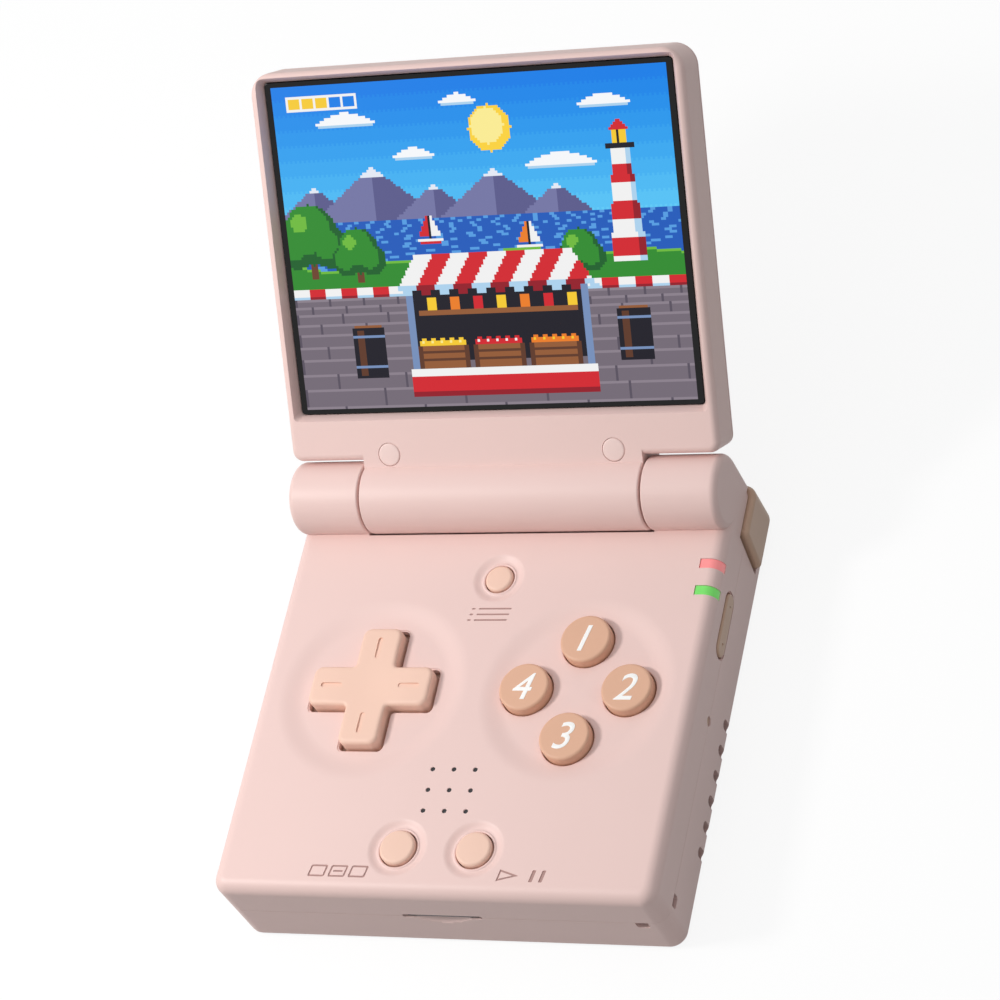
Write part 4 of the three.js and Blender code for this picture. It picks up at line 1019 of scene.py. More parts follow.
def shoulder_cutters(case, keys):
    """Pockets in the right rear corner for the two shoulder buttons."""
    half_width, half_depth, _ = case_extent()
    low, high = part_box("shoulder_button_outer_right")
    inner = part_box("shoulder_button_inner_right")[0].x - FIT_GAP
    bottom = keys.shoulder_low - FIT_GAP
    top = high.z + FIT_GAP
    back = half_depth + OVERRUN
    side = half_width - case.wall - OVERRUN / 2
    front = low.y - keys.shoulder_travel
    end = [(front, bottom), (back, bottom), (back, top), (front + keys.shoulder_lean, top)]
    return [
        box(inner, half_width + OVERRUN, half_depth - case.wall - FIT_GAP, back, bottom, top),
        prism(end, side, half_width + OVERRUN, "X"),
    ]


def card_cutters(case):
    """The memory card's slot."""
    half_depth = case_extent()[1]
    outline = stadium_outline(0, case.parting, case.card_slot_width, case.card_slot_height)
    flipped = [(z, x) for x, z in outline]
    return [prism(flipped, -half_depth - OVERRUN, -half_depth + OVERRUN / 2, "Y")]


def build_card(case):
    """The memory card in its slot. The card is real, and its dark front is set almost flush with the front wall,
    so it is also painted shade that stands in for the shade inside the slot.
    """
    half, back = case.card_width / 2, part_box("memory_card")[1].y
    # Partly painted shade: the dark card front sits almost flush and fills the slot where its inside would be in
    # shade.
    front = case.card_sunk - case_extent()[1]
    thick = case.card_slot_height - 2 * case.card_edge
    low, high = case.parting - thick / 2, case.parting + thick / 2
    body = box(-half, half, front, back, low, high)
    round_edges(body, edges_on(body, 1, front), case.card_edge, 3)
    shade = bpy.context.scene.console_colours.dark
    material = moulded("Card plastic", shade, roughness=0.42, height=0.08)
    finish_piece(body, "memory_card_fine", "memory_card", material, ["memory_card"])


def scoop_cutter(case):
    """Fingernail recess below the card slot, hollowed as part of a ball."""
    half_width, half_depth, _ = case_extent()
    radius = math.hypot(case.scoop_stand, case.scoop_circle)
    round_side = arc(0, 0, radius, -90, 90, ROUND_STEPS)[1:-1]
    place = (
        0,
        -half_depth - case.scoop_stand,
        case.parting - case.scoop_drop + case.scoop_circle,
    )
    ball = turned([(0, -radius), *round_side, (0, radius)], place, steps=3 * ROUND_STEPS)
    room = box(-half_width, half_width, -2 * half_depth, 0, 0, case.parting + OVERRUN / 20)
    return common(ball, room)


def port_cutters(case):
    """Charging port, headphone jack and reset holes."""
    half_width, half_depth, _ = case_extent()
    usb = middle("usb_port")
    low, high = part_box("usb_port")
    outline = stadium_outline(
        usb.x, usb.z, high.x - low.x + 2 * FIT_GAP, high.z - low.z + 2 * FIT_GAP
    )
    flipped = [(z, x) for x, z in outline]
    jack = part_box("headphone_jack")
    jack_place = (0, (jack[0].y + jack[1].y) / 2, case.jack_height)
    jack_hole = case.jack_radius + FIT_GAP
    reset = middle("reset_button")
    reset_place = (0, reset.y, reset.z)
    deep, out = half_width - OVERRUN / 2, half_width + OVERRUN
    return [
        prism(flipped, half_depth - OVERRUN / 2, half_depth + OVERRUN, "Y"),
        rod(jack_hole, -out, -deep, jack_place, "X"),
        rod(case.reset_radius, deep, out, reset_place, "X"),
    ]


def vent_cutters(case):
    """Air slots in the underside, each with a window in the right wall."""
    half_width = case_extent()[0]
    radius = case.vent_width / 2
    places = [
        case.vent_y + (i - (case.vents - 1) / 2) * case.vent_pitch for i in range(case.vents)
    ]
    inner, bridge = half_width - case.vent_reach, half_width - case.wall
    slots = []
    for y in places:
        slot = stadium_outline((inner + bridge) / 2, y, bridge - inner, case.vent_width)
        slots.append(prism(slot, -OVERRUN, case.vent_height))
        window = rounded_outline(
            y - radius, y + radius, case.vent_low, case.vent_height, radius * NEARLY_SHARE
        )
        slots.append(prism(window, bridge - radius, half_width + OVERRUN, "X"))
    return slots


def eye_cutters(case):
    """L-shaped tunnel for a lanyard in the front right corner."""
    half_width, half_depth, _ = case_extent()
    x = half_width - case.eye_side
    y = case.eye_front - half_depth
    half = case.eye_width / 2
    low, high = case.parting - case.eye_height, case.parting + case.eye_height
    corner = case.eye_height / 3
    front = [(z, px) for px, z in rounded_outline(x - half, x + half, low, high, corner)]
    side = rounded_outline(y - half, y + half, low, high, corner)
    return [
        prism(front, -half_depth - OVERRUN, y + half, "Y"),
        prism(side, x - half, half_width + OVERRUN, "X"),
    ]


def leaning(outline, y):
    """An outline that leans to the right, as the numerals do."""
    return [(px + MARK_LEAN * (py - y), py) for px, py in outline]


def flat_mark(levels, outline, island=None):
    """A flat mark between two heights, with an island left out of it."""
    low, high = levels
    mark = prism(outline, low, high)
    if island is None:
        return mark
    return cut(mark, prism(island, low - OVERRUN, high + OVERRUN))


def list_mark(levels, stroke, x, y, long, tall):
    """Three lines with a dot before each."""
    rows = [y + i * (tall - stroke) / 2 for i in (-1, 0, 1)]
    dot, line = 2 * stroke, long - 4 * stroke
    outlines = [stadium_outline(x - (long - dot) / 2, row, dot, stroke) for row in rows]
    outlines += [stadium_outline(x + (long - line) / 2, row, line, stroke) for row in rows]
    return [flat_mark(levels, leaning(outline, y)) for outline in outlines]


def choice_mark(levels, stroke, x, y, long, tall):
    """Three small windows in a row, with a dash in the middle one."""
    pitch = (long + 2 * stroke) / 3
    wide = pitch - 2 * stroke
    low, high = y - tall / 2, y + tall / 2
    dash = leaning(stadium_outline(x, y, wide - 4 * stroke, stroke), y)
    made = [flat_mark(levels, dash)]
    for index in range(3):
        left = x - long / 2 + index * pitch
        outer = rounded_outline(left, left + wide, low, high, stroke)
        sides = (left + stroke, left + wide - stroke, low + stroke, high - stroke)
        inner = leaning(rounded_outline(*sides, stroke / 2), y)
        made.append(flat_mark(levels, leaning(outer, y), inner))
    return made


def play_mark(levels, stroke, x, y, long, tall):
    """A triangle that points right, and two upright bars."""
    left = x - long / 2
    point = long * POINT_SHARE
    outer = [(left, y - tall / 2), (left + point, y), (left, y + tall / 2)]
    inner_radius = tall * point / (tall + 2 * math.hypot(point, tall / 2))
    share = 1 - stroke / inner_radius
    middle_x = left + inner_radius
    inner = [(middle_x + share * (px - middle_x), y + share * (py - y)) for px, py in outer]
    made = [flat_mark(levels, leaning(outer, y), leaning(inner, y))]
    for bar_share in BAR_SHARES:
        start = left + bar_share * long
        bar = rounded_outline(start, start + 2 * stroke, y - tall / 2, y + tall / 2, stroke / 2)
        made.append(flat_mark(levels, leaning(bar, y)))
    return made


def mark_shapes(case, levels):
    """The marks beside menu, select and start, between two heights."""
    made = []
    for node, draw, offset, size in MARKS:
        place = middle(node)
        centre = (place.x + offset[0], place.y + offset[1])
        made += draw(levels, case.mark_stroke, *centre, *size)
    return made


def mark_cutters(case):
    """The recesses of the engraved marks."""
    height = case_extent()[2]
    return mark_shapes(case, (height - case.mark_depth, height + OVERRUN))


def build_marks(case):
    """Paint on the floors of the engraved marks."""
    floor = case_extent()[2] - case.mark_depth
    paint = joined(*mark_shapes(case, (floor, floor + case.mark_depth / 2)))
    shade = bpy.context.scene.console_colours.mark
    material = moulded("Mark paint", shade, roughness=0.6, height=0.03)
    finish_piece(paint, "mark_paint", "base", material)


def build_speaker_hole_shade(case):
    """Dark discs just below the top of each speaker hole: painted shade that stands in for the shade inside the
    holes.
    """
    height = case_extent()[2]
    steps = [(i - 1) * case.speaker_pitch for i in range(3)]
    radius, high = case.speaker_hole * NEARLY_SHARE, height - case.speaker_hole / 2
    low = high - case.speaker_hole
    # Painted shade: dark discs that stand in for the shade inside the speaker holes.
    discs = [rod(radius, low, high, (x, case.speaker_y + y, 0)) for x in steps for y in steps]
    shade = bpy.context.scene.console_colours.dark
    material = moulded("Dark plastic", shade, roughness=0.42, height=0.08)
    finish_piece(joined(*discs), "speaker_hole_shade", "base", material)


# Key, its mark, the mark's place from the key, and its length and height
MARKS = (
    ("menu_button", list_mark, (-0.0002, -0.0076), (0.0078, 0.0027)),
    ("select_button", choice_mark, (-0.0104, -0.00485), (0.0112, 0.0023)),
    ("start_button", play_mark, (0.0103, -0.00485), (0.0093, 0.0023)),
)
ACTION_NODES = [f"action_button_{way}" for way in ("north", "east", "south", "west")]


def shared_cutters(case, keys):
    """What is cut from both shells along their joint."""
    pockets = shoulder_cutters(case, keys)
    return [
        *side_cutters("volume_rocker", keys),
        *side_cutters("power_button", keys),
        *[mirrored(pocket) for pocket in pockets],
        *pockets,
        *card_cutters(case),
        *port_cutters(case),
    ]


def key_cutters(case, keys):
    """Holes and dishes for every key on the top face."""
    height = case_extent()[2]
    floor = height - case.dish_depth
    low = height - OVERRUN
    ring = height - case.moat_depth + case.lip_rise
    menu = middle("menu_button")
    options = [middle("select_button"), middle("start_button")]
    actions = [middle(node) for node in ACTION_NODES]
    return [
        *[key_hole(keys, place, keys.action_radius, floor, low) for place in actions],
        key_hole(keys, menu, keys.menu_radius, ring, low),
        moat_cutter(case, keys, menu, keys.menu_radius, keys.menu_moat),
        *[key_hole(keys, place, keys.option_radius, ring, low) for place in options],
        *[moat_cutter(case, keys, p, keys.option_radius, keys.option_moat) for p in options],
        *pad_hole(case, keys),
    ]


def build_top_shell(case, keys):
    """The base's upper shell."""
    action_middle = sum((middle(node) for node in ACTION_NODES), Vector()) / 4
    shell = cut(half_block(case, True), case_cavity(case), *hinge_cutters(case))
    shell = cut(
        shell,
        dish_cutter(case, middle("direction_pad")),
        dish_cutter(case, action_middle),
    )
    shell = cut(shell, *key_cutters(case, keys), *speaker_cutters(case), *light_cutters(case))
    shell = cut(shell, *shared_cutters(case, keys), *mark_cutters(case))
    return finish_piece(
        shell, "top_shell", "base", shell_material(), ["base_top_shell"]
    )


SCREW_NODES = [
    f"case_screw_{end}_{side}" for end in ("front", "back") for side in ("left", "right")
]


def screw_bosses(case):
    """Columns round the case screws."""
    top = case.parting - case.parting_gap
    places = [middle(node) for node in SCREW_NODES]
    return [rod(case.boss_radius, case.floor_wall / 2, top, (p.x, p.y, 0)) for p in places]


def screw_holes(keys):
    """Counterbored holes for the case screws."""
    made = []
    for node in SCREW_NODES:
        low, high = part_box(node)
        place = middle(node)
        radius = (high.x - low.x) / 2 + FIT_GAP
        seat = low.z + SCREW_SEAT
        profile = [
            (0, -OVERRUN),
            (radius + keys.hole_edge, -OVERRUN),
            *arc(radius + keys.hole_edge, keys.hole_edge, keys.hole_edge, -90, -180, 4),
            (radius, seat),
            (0, seat),
        ]
        made.append(turned(profile, (place.x, place.y, 0), steps=SMALL_STEPS))
    return made


def eye_block(case):
    """The solid corner that the lanyard's tunnel runs through."""
    half_width, half_depth, _ = case_extent()
    reach = case.eye_width / 2 + case.eye_block
    x = half_width - case.eye_side - reach
    y = case.eye_front - half_depth + reach
    top = case.parting - case.parting_gap
    block = box(x, half_width, -half_depth, y, case.floor_wall / 2, top)
    return common(block, case_block(case))


def build_bottom_shell(case, keys):
    """The base's lower shell."""
    shell = cut(half_block(case, False), case_cavity(case))
    shell = joined(shell, eye_block(case), *screw_bosses(case))
    vents = vent_cutters(case)
    vents += [mirrored(vent) for vent in vents]
    shell = cut(shell, *vents, *eye_cutters(case), *screw_holes(keys), scoop_cutter(case))
    shell = cut(shell, *shared_cutters(case, keys))
    return finish_piece(
        shell, "bottom_shell", "base", shell_material(), ["base_bottom_shell"]
    )


# Lid


def on_lid(bm):
    """Lays a shape that was drawn in the lid's frame on the lid."""
    bmesh.ops.transform(bm, matrix=lid_matrix(), verts=bm.verts)
    return bm


def lid_outline(lid, inset=0.0):
    """The lid's outline in plan."""
    x = case_extent()[0] - inset
    corners = (max(lid.near_corner - inset, LEAST_CORNER), lid.far_corner - inset)
    return rounded_outline(-x, x, lid.near + inset, lid.far - inset, *corners)


def glass_outline(lid, margin=0.0):
    """The glass's outline, widened by a margin."""
    x = lid.glass_half + margin
    return rounded_outline(
        -x, x, lid.glass_near - margin, lid.glass_far + margin, lid.glass_corner + margin
    )


def barrel(case, lid):
    """The lid's part of the hinge barrel and the root that joins it to the lid."""
    half = case.barrel_half
    edge = case.knuckle_edge
    radius = case.hinge_radius
    side = [(0, half), *arc(radius - edge, half - edge, edge, 90, 0, 4)]
    tube = turned([(r, -h) for r, h in side] + side[::-1], (0, 0, 0), "X", 2 * ROUND_STEPS)
    split = lid.face - lid.thickness + lid.cover + lid.cover_gap
    root = box(-half, half, 0, lid.near + lid.back_edge, split, lid.face)
    tail = box(-half, half, 0, lid.near - FIT_GAP, split - TAIL_HALF, split + TAIL_HALF)
    return [tube, root, tail]


def rim_cutters(lid):
    """The recess that narrows from the rim to the glass."""
    floor = lid.face - lid.recess
    start = glass_outline(lid, lid.glass_gap)
    width = 2 * (lid.glass_half + lid.glass_gap)
    depth = lid.glass_far - lid.glass_near + 2 * lid.glass_gap
    rise = lid.recess + OVERRUN / 10
    spread = lid.draft * rise / lid.recess
    widen = (1 + 2 * spread / width, 1 + 2 * spread / depth)
    pocket = prism(start, floor - POCKET_DEPTH, floor + POCKET_OVERLAP)
    return [pocket, prism(start, floor, floor + rise, widen=widen)]


def lid_sides(bm):
    """Edges of the rim's outline."""
    return edges_on(bm, 2, max(v.co.z for v in bm.verts))


def build_lid_front(case, lid):
    """The screen's bezel with the hinge barrel."""
    split = lid.face - lid.thickness + lid.cover + lid.cover_gap
    plate = prism(lid_outline(lid), split, lid.face)
    round_edges(plate, lid_sides(plate), lid.front_edge, 8)
    back = edges_on(plate, 2, split)
    round_edges(plate, back, case.seam_fine, 2)
    bezel = joined(plate, *barrel(case, lid))
    inner = prism(lid_outline(lid, case.wall), split - OVERRUN, split + BACK_RECESS)
    keep = box(-OVERRUN * 8, OVERRUN * 8, 0, lid.near + case.wall, split - OVERRUN, lid.face)
    bumpers = [
        bumper_hole(lid, side * lid.bumper_x, lid.bumper_y) for side in (-1, 1)
    ]
    out = case.barrel_half + OVERRUN
    bores = [
        rod(case.bore_radius - FIT_GAP, -out, -CABLE_BORE_END, (0, 0, 0), "X"),
        rod(CAM_RADIUS, case.barrel_half - CAM_DEPTH, out, (0, 0, 0), "X"),
    ]
    bezel = cut(bezel, *rim_cutters(lid), cut(inner, keep), *bumpers, *bores)
    return finish_piece(
        on_lid(bezel), "lid_bezel", "lid", shell_material(), ["lid_front_bezel"]
    )


def bumper_hole(lid, x, y):
    """Seat of a bumper, with a fine rounded edge."""
    radius = lid.bumper_radius + lid.bumper_gap
    edge = lid.bumper_gap
    flare = arc(radius + edge, lid.face - edge, edge, 180, 90, 3)
    low = lid.face - lid.bumper_depth - FIT_GAP
    high = lid.face + OVERRUN
    profile = [(0, low), (radius, low), *flare, (flare[-1][0], high), (0, high)]
    return turned(profile, (x, y, 0))


def build_bumpers(lid):
    """The two soft discs near the hinge."""
    colours = bpy.context.scene.console_colours
    soft = moulded("Bumper rubber", colours.bumper, roughness=0.62, height=0.05)
    edge = BUMPER_EDGE
    top = lid.face + BUMPER_RISE
    low = lid.face - lid.bumper_depth
    rounding = arc(lid.bumper_radius - edge, top - edge, edge, 0, 90, 6)
    profile = [(0, low), (lid.bumper_radius, low), *rounding, (0, top)]
    for name, x in (("left", -lid.bumper_x), ("right", lid.bumper_x)):
        disc = on_lid(turned(profile, (x, lid.bumper_y, 0)))
        finish_piece(disc, f"bumper_{name}", "lid", soft, [f"lid_bumper_{name}"])


def build_lid_back(lid):
    """The lid's rear cover."""
    low = lid.face - lid.thickness
    plate = prism(lid_outline(lid), low, low + lid.cover)
    rim = edges_on(plate, 2, low)
    round_edges(plate, rim, lid.back_edge * COVER_EDGE_SHARE, 8)
    return finish_piece(
        on_lid(plate), "lid_back", "lid", shell_material(), ["lid_rear_cover"]
    )


# Screen

PICTURE_COLUMNS = 168
PICTURE_ROWS = 128

SKY_TOP = (4, 128, 236)
SKY_LOW = (96, 206, 252)
CLOUD = (250, 252, 255)
CLOUD_SHADE = (176, 214, 242)
SUN = (255, 214, 58)
SUN_LIGHT = (255, 240, 150)
RIDGE = (118, 120, 168)
RIDGE_SHADE = (92, 92, 142)
SNOW = (232, 238, 250)
SEA = (28, 92, 190)
SEA_LIGHT = (86, 160, 230)
LEAF = (46, 142, 44)
LEAF_DARK = (22, 98, 40)
LEAF_LIGHT = (112, 190, 60)
TRUNK = (110, 66, 40)
PAVING = (118, 108, 120)
PAVING_LIGHT = (142, 131, 143)
PAVING_DARK = (90, 82, 96)
RED = (214, 34, 44)
RED_DARK = (150, 20, 36)
WHITE = (246, 246, 246)
YELLOW = (250, 206, 46)
ORANGE = (240, 128, 34)
WOOD = (150, 92, 52)
WOOD_DARK = (96, 56, 36)
NIGHT = (24, 22, 34)
STEEL_BLUE = (120, 146, 190)


def paint_sky(canvas, horizon):
    """Bands that grow paler towards the horizon, stippled where they meet."""
    bands = 9
    for row in range(horizon):
        share = row / horizon * bands
        band = int(share)
        for parity in (0, 1):
            mixed = band + (1 if share - band > 0.72 and (row + parity) % 2 else 0)
            level = min(mixed, bands) / bands
            shade = [a + (b - a) * level for a, b in zip(SKY_TOP, SKY_LOW)]
            canvas[row, parity::2] = shade


def paint_disc(canvas, x, y, radius, shade):
    """A filled disc of dots."""
    rows, columns = np.ogrid[: canvas.shape[0], : canvas.shape[1]]
    canvas[(rows - y) ** 2 + (columns - x) ** 2 <= radius * radius] = shade


def paint_block(canvas, x, y, wide, tall, shade):
    """A filled rectangle of dots, cut at the picture's edge."""
    canvas[max(y, 0) : max(y + tall, 0), max(x, 0) : max(x + wide, 0)] = shade


def paint_cloud(canvas, x, y, size):
    """A stepped cloud with a shaded underside."""
    for inset, rise in ((0, 0), (2, 1), (5, 2), (9, 3)):
        wide = size - 2 * inset
        if wide > 0:
            paint_block(canvas, x + inset, y - rise, wide, 1, CLOUD)
    paint_block(canvas, x - 2, y + 1, size + 4, 1, CLOUD)
    paint_block(canvas, x - 1, y + 2, size + 2, 1, CLOUD_SHADE)


def paint_ridge(canvas, x, y, reach, shade, shadow):
    """A stepped mountain with a shaded right side and a white top."""
    for step in range(reach):
        row = y - reach + step
        wide = step + step // 3
        paint_block(canvas, x - wide, row, wide, 1, shade)
        paint_block(canvas, x, row, wide, 1, shadow)
        if step < reach // 4:
            paint_block(canvas, x - wide, row, 2 * wide, 1, SNOW)


def paint_tree(canvas, x, y, size):
    """A round tree on a trunk."""
    paint_block(canvas, x - 1, y - size, 3, size + size // 2, TRUNK)
    for dx, dy, share in ((0, 0, 1.0), (-0.6, 0.4, 0.7), (0.6, 0.4, 0.7)):
        place = (x + dx * size, y - size + dy * size)
        paint_disc(canvas, *place, size * share, LEAF_DARK)
    for dx, dy, share in ((-0.1, -0.2, 0.8), (-0.7, 0.3, 0.5), (0.5, 0.3, 0.5)):
        place = (x + dx * size, y - size + dy * size)
        paint_disc(canvas, *place, size * share, LEAF)
    paint_disc(canvas, x - size * 0.4, y - size * 1.4, size * 0.3, LEAF_LIGHT)


def paint_lighthouse(canvas, x, y, tall):
    """A striped tower with a lamp, which narrows upwards."""
    for step in range(tall):
        half = 4 + (step * 4) // tall
        stripe = RED if (step // 7) % 2 else WHITE
        shadow = RED_DARK if stripe is RED else CLOUD_SHADE
        row = y - tall + step
        paint_block(canvas, x - half, row, 2 * half, 1, stripe)
        paint_block(canvas, x + half - half // 2, row, half // 2, 1, shadow)
    top = y - tall
    paint_block(canvas, x - 6, top - 1, 12, 2, NIGHT)
    paint_block(canvas, x - 3, top - 6, 6, 5, YELLOW)
    paint_block(canvas, x - 1, top - 6, 1, 5, NIGHT)
    for step in range(4):
        paint_block(canvas, x - 1 - step, top - 10 + step, 2 + 2 * step, 1, RED)


def paint_boat(canvas, x, y, shade):
    """A small boat with one sail."""
    paint_block(canvas, x - 5, y, 11, 1, WHITE)
    paint_block(canvas, x - 4, y + 1, 9, 1, shade)
    paint_block(canvas, x, y - 9, 1, 9, NIGHT)
    for step in range(8):
        paint_block(canvas, x + 1, y - 9 + step, step // 2 + 1, 1, WHITE)
        paint_block(canvas, x - step // 2 - 1, y - 9 + step, step // 2 + 1, 1, shade)


def paint_sea(canvas, top, bottom):
    """Water with short glints, denser near the horizon."""
    canvas[top:bottom] = SEA
    for row in range(top, bottom):
        pitch = 7 + (row - top)
        for start in range((row * 13) % pitch, canvas.shape[1], pitch):
            paint_block(canvas, start, row, 2 + (row - top) // 6, 1, SEA_LIGHT)


def paint_shore(canvas, top):
    """Grass bank along the water, with a low red and white wall."""
    width = canvas.shape[1]
    for column in range(width):
        wave = int(2 * math.sin(column / 9) + 2 * math.sin(column / 23))
        paint_block(canvas, column, top + wave, 1, 14, LEAF)
        paint_block(canvas, column, top + wave, 1, 1, LEAF_LIGHT)
    for index, start in enumerate(range(0, width, 7)):
        paint_block(canvas, start, top + 10, 7, 4, RED if index % 2 else WHITE)
        paint_block(canvas, start, top + 13, 7, 1, RED_DARK if index % 2 else CLOUD_SHADE)


def paint_paving(canvas, top):
    """Rows of slabs that grow towards the viewer."""
    row, tall, index = top, 3, 0
    while row < canvas.shape[0]:
        paint_block(canvas, 0, row, canvas.shape[1], tall, PAVING)
        paint_block(canvas, 0, row, canvas.shape[1], 1, PAVING_LIGHT)
        pitch = 5 * tall
        for start in range((index % 2) * pitch // 2, canvas.shape[1], pitch):
            paint_block(canvas, start, row, 1, tall, PAVING_DARK)
        row += tall
        tall += 1 if index % 2 else 0
        index += 1


def paint_crate(canvas, x, y, wide, shade, accent):
    """A wooden crate heaped with fruit."""
    for start in range(x + 1, x + wide - 2, 4):
        paint_disc(canvas, start + 1.5, y - 1, 2.1, shade)
        paint_block(canvas, start + 1, y - 2, 1, 1, accent)
    paint_block(canvas, x, y, wide, 9, WOOD)
    for line in (2, 5):
        paint_block(canvas, x, y + line, wide, 1, WOOD_DARK)
    for post in (x, x + wide - 2):
        paint_block(canvas, post, y, 2, 9, WOOD_DARK)


def paint_stall(canvas, x, y, wide):
    """A market stall with a striped awning, a dark back and three crates."""
    paint_block(canvas, x + 3, y + 6, wide - 6, 30, NIGHT)
    paint_block(canvas, x + 3, y + 6, 3, 44, STEEL_BLUE)
    paint_block(canvas, x + wide - 6, y + 6, 3, 44, STEEL_BLUE)
    for step in range(12):
        inset = 8 - (8 * step) // 12
        for index, start in enumerate(range(x + inset, x + wide - inset, 8)):
            shade = RED if index % 2 else WHITE
            reach = min(8, x + wide - inset - start)
            paint_block(canvas, start, y - 6 + step, reach, 1, shade)
    for index, start in enumerate(range(x, x + wide, 8)):
        shade = RED_DARK if index % 2 else CLOUD_SHADE
        paint_block(canvas, start, y + 6, min(8, x + wide - start), 2, shade)
        paint_block(canvas, start + 2, y + 8, 4, 2, shade)
    paint_block(canvas, x + 8, y + 16, wide - 16, 2, WOOD)
    for index in range(7):
        paint_block(canvas, x + 12 + index * 10, y + 11, 4, 5, (YELLOW, ORANGE, RED)[index % 3])
    third = (wide - 12) // 3
    fruits = ((YELLOW, SUN_LIGHT), (RED, WHITE), (ORANGE, YELLOW))
    for index, pair in enumerate(fruits):
        paint_crate(canvas, x + 6 + index * third, y + 30, third - 2, *pair)
    paint_block(canvas, x + 2, y + 39, wide - 4, 3, WHITE)
    paint_block(canvas, x + 2, y + 42, wide - 4, 6, RED)
    paint_block(canvas, x + 2, y + 48, wide - 4, 2, RED_DARK)


def paint_barrel(canvas, x, y):
    """A dark barrel with bright hoops."""
    paint_block(canvas, x, y, 14, 20, NIGHT)
    paint_block(canvas, x + 2, y + 1, 3, 18, WOOD_DARK)
    for line in (3, 15):
        paint_block(canvas, x, y + line, 14, 1, STEEL_BLUE)
    paint_block(canvas, x + 1, y - 1, 12, 1, WOOD)


def paint_gauge(canvas, x, y, boxes, filled):
    """A row of small boxes with a white outline, some filled."""
    paint_block(canvas, x, y, boxes * 6 + 1, 6, WHITE)
    for index in range(boxes):
        shade = YELLOW if index < filled else SKY_TOP
        paint_block(canvas, x + 1 + index * 6, y + 1, 5, 4, shade)


def painted_canvas():
    """The whole screen picture: a harbour market beside the sea."""
    canvas = np.zeros((PICTURE_ROWS, PICTURE_COLUMNS, 3))
    horizon = 54
    paint_sky(canvas, horizon)
    paint_disc(canvas, 92, 20, 9, SUN)
    paint_disc(canvas, 91, 19, 7, SUN_LIGHT)
    for x, y, size in ((20, 14, 22), (52, 28, 14), (108, 34, 26), (132, 12, 18), (74, 8, 12)):
        paint_cloud(canvas, x, y, size)
    for x, reach in ((14, 15), (40, 22), (66, 14), (92, 19), (118, 12)):
        paint_ridge(canvas, x, horizon, reach, RIDGE, RIDGE_SHADE)
    paint_sea(canvas, horizon, 76)
    paint_boat(canvas, 62, 62, RED)
    paint_boat(canvas, 104, 66, ORANGE)
    paint_shore(canvas, 70)
    paint_lighthouse(canvas, 146, 74, 44)
    for x, y, size in ((10, 70, 12), (30, 74, 9), (125, 76, 8)):
        paint_tree(canvas, x, y, size)
    paint_paving(canvas, 84)
    paint_stall(canvas, 46, 74, 84)
    paint_barrel(canvas, 24, 96)
    paint_barrel(canvas, 138, 92)
    paint_gauge(canvas, 6, 4, 5, 3)
    return canvas


def build_glass(lid):
    """The black glass, with a fine bevel."""
    glass = bpy.context.scene.console_colours.glass
    top = lid.face - lid.recess
    slab = prism(glass_outline(lid), top - PANE_THICKNESS, top)
    round_edges(slab, edges_on(slab, 2, top), PANE_EDGE, 3)
    return finish_piece(
        on_lid(slab), "screen_pane", "lid", glass_material(glass), ["screen_glass"]
    )


def build_picture(lid):
    """A thin plate of coloured dots just over the glass."""
    left = lid.glass_half - lid.picture_side
    low = lid.glass_near + lid.picture_end
    high = lid.glass_far - lid.picture_end
    top = lid.face - lid.recess
    bm = bmesh.new()
    bmesh.ops.create_grid(
        bm, x_segments=PICTURE_COLUMNS, y_segments=PICTURE_ROWS, size=0.5
    )
    place = Matrix.Translation((0, (low + high) / 2, top + PICTURE_RISE))
    spread = Matrix.Diagonal((2 * left, high - low, 1, 1))
    canvas = painted_canvas()
    shades = []
    for face in bm.faces:
        centre = face.calc_center_median()
        column = int((centre.x + 0.5) * PICTURE_COLUMNS)
        row = PICTURE_ROWS - 1 - int((centre.y + 0.5) * PICTURE_ROWS)
        shades += [(*linear(*canvas[row, column]), 1.0)] * 4
    bmesh.ops.transform(bm, matrix=place @ spread, verts=bm.verts)
    piece = finish_piece(on_lid(bm), "screen_picture", "lid", picture_material())
    dots = piece.data.color_attributes.new("dots", "FLOAT_COLOR", "CORNER")
    dots.data.foreach_set("color", np.array(shades, np.float32).ravel())
    return piece


# Keys


def key_profile(node, radius, edge):
    """Radius and height points of a round key: stem, flange and rounded cap."""
    low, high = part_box(node)
    flange = (high.x - low.x) / 2
    stem = STEM_RADIUS
    flange_low = low.z + FLANGE_LIFT
    flange_high = flange_low + FLANGE_THICKNESS
    return [
        (0, low.z),
        (stem, low.z),
        (stem, flange_low),
        (flange, flange_low),
        (flange, flange_high),
        (radius, flange_high),
        *arc(radius - edge, high.z - edge, edge, 0, 90, 8),
        (0, high.z),
    ]


def build_numeral(text, node, keys):
    """A slanted numeral let into the top of an action button."""
    colours = bpy.context.scene.console_colours
    curve = bpy.data.curves.new(f"numeral_{text}", "FONT")
    curve.body = text
    curve.size = keys.numeral_height
    curve.shear = 0.25
    curve.extrude = NUMERAL_THICKNESS
    curve.bevel_depth = keys.numeral_weight
    curve.bevel_resolution = 1
    curve.align_x = "CENTER"
    curve.align_y = "CENTER"
    writing = bpy.data.objects.new("writing", curve)
    bpy.context.scene.collection.objects.link(writing)
    depsgraph = bpy.context.evaluated_depsgraph_get()
    bm = bmesh.new()
    bm.from_mesh(writing.evaluated_get(depsgraph).to_mesh())
    bpy.data.curves.remove(curve)
    bmesh.ops.remove_doubles(bm, verts=bm.verts, dist=SEAM_TOLERANCE / 10)
    corners = np.array([v.co for v in bm.verts])
    centre = (corners.min(0) + corners.max(0)) / 2
    place = middle(node)
    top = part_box(node)[1].z
    height = top + NUMERAL_RISE
    shift = Vector((place.x - centre[0], place.y - centre[1], height - centre[2]))
    bmesh.ops.translate(bm, verts=bm.verts, vec=shift)
    white = moulded("Numeral plastic", colours.numeral, roughness=0.35, height=0.02)
    return finish_piece(bm, f"numeral_{text}", node, white)


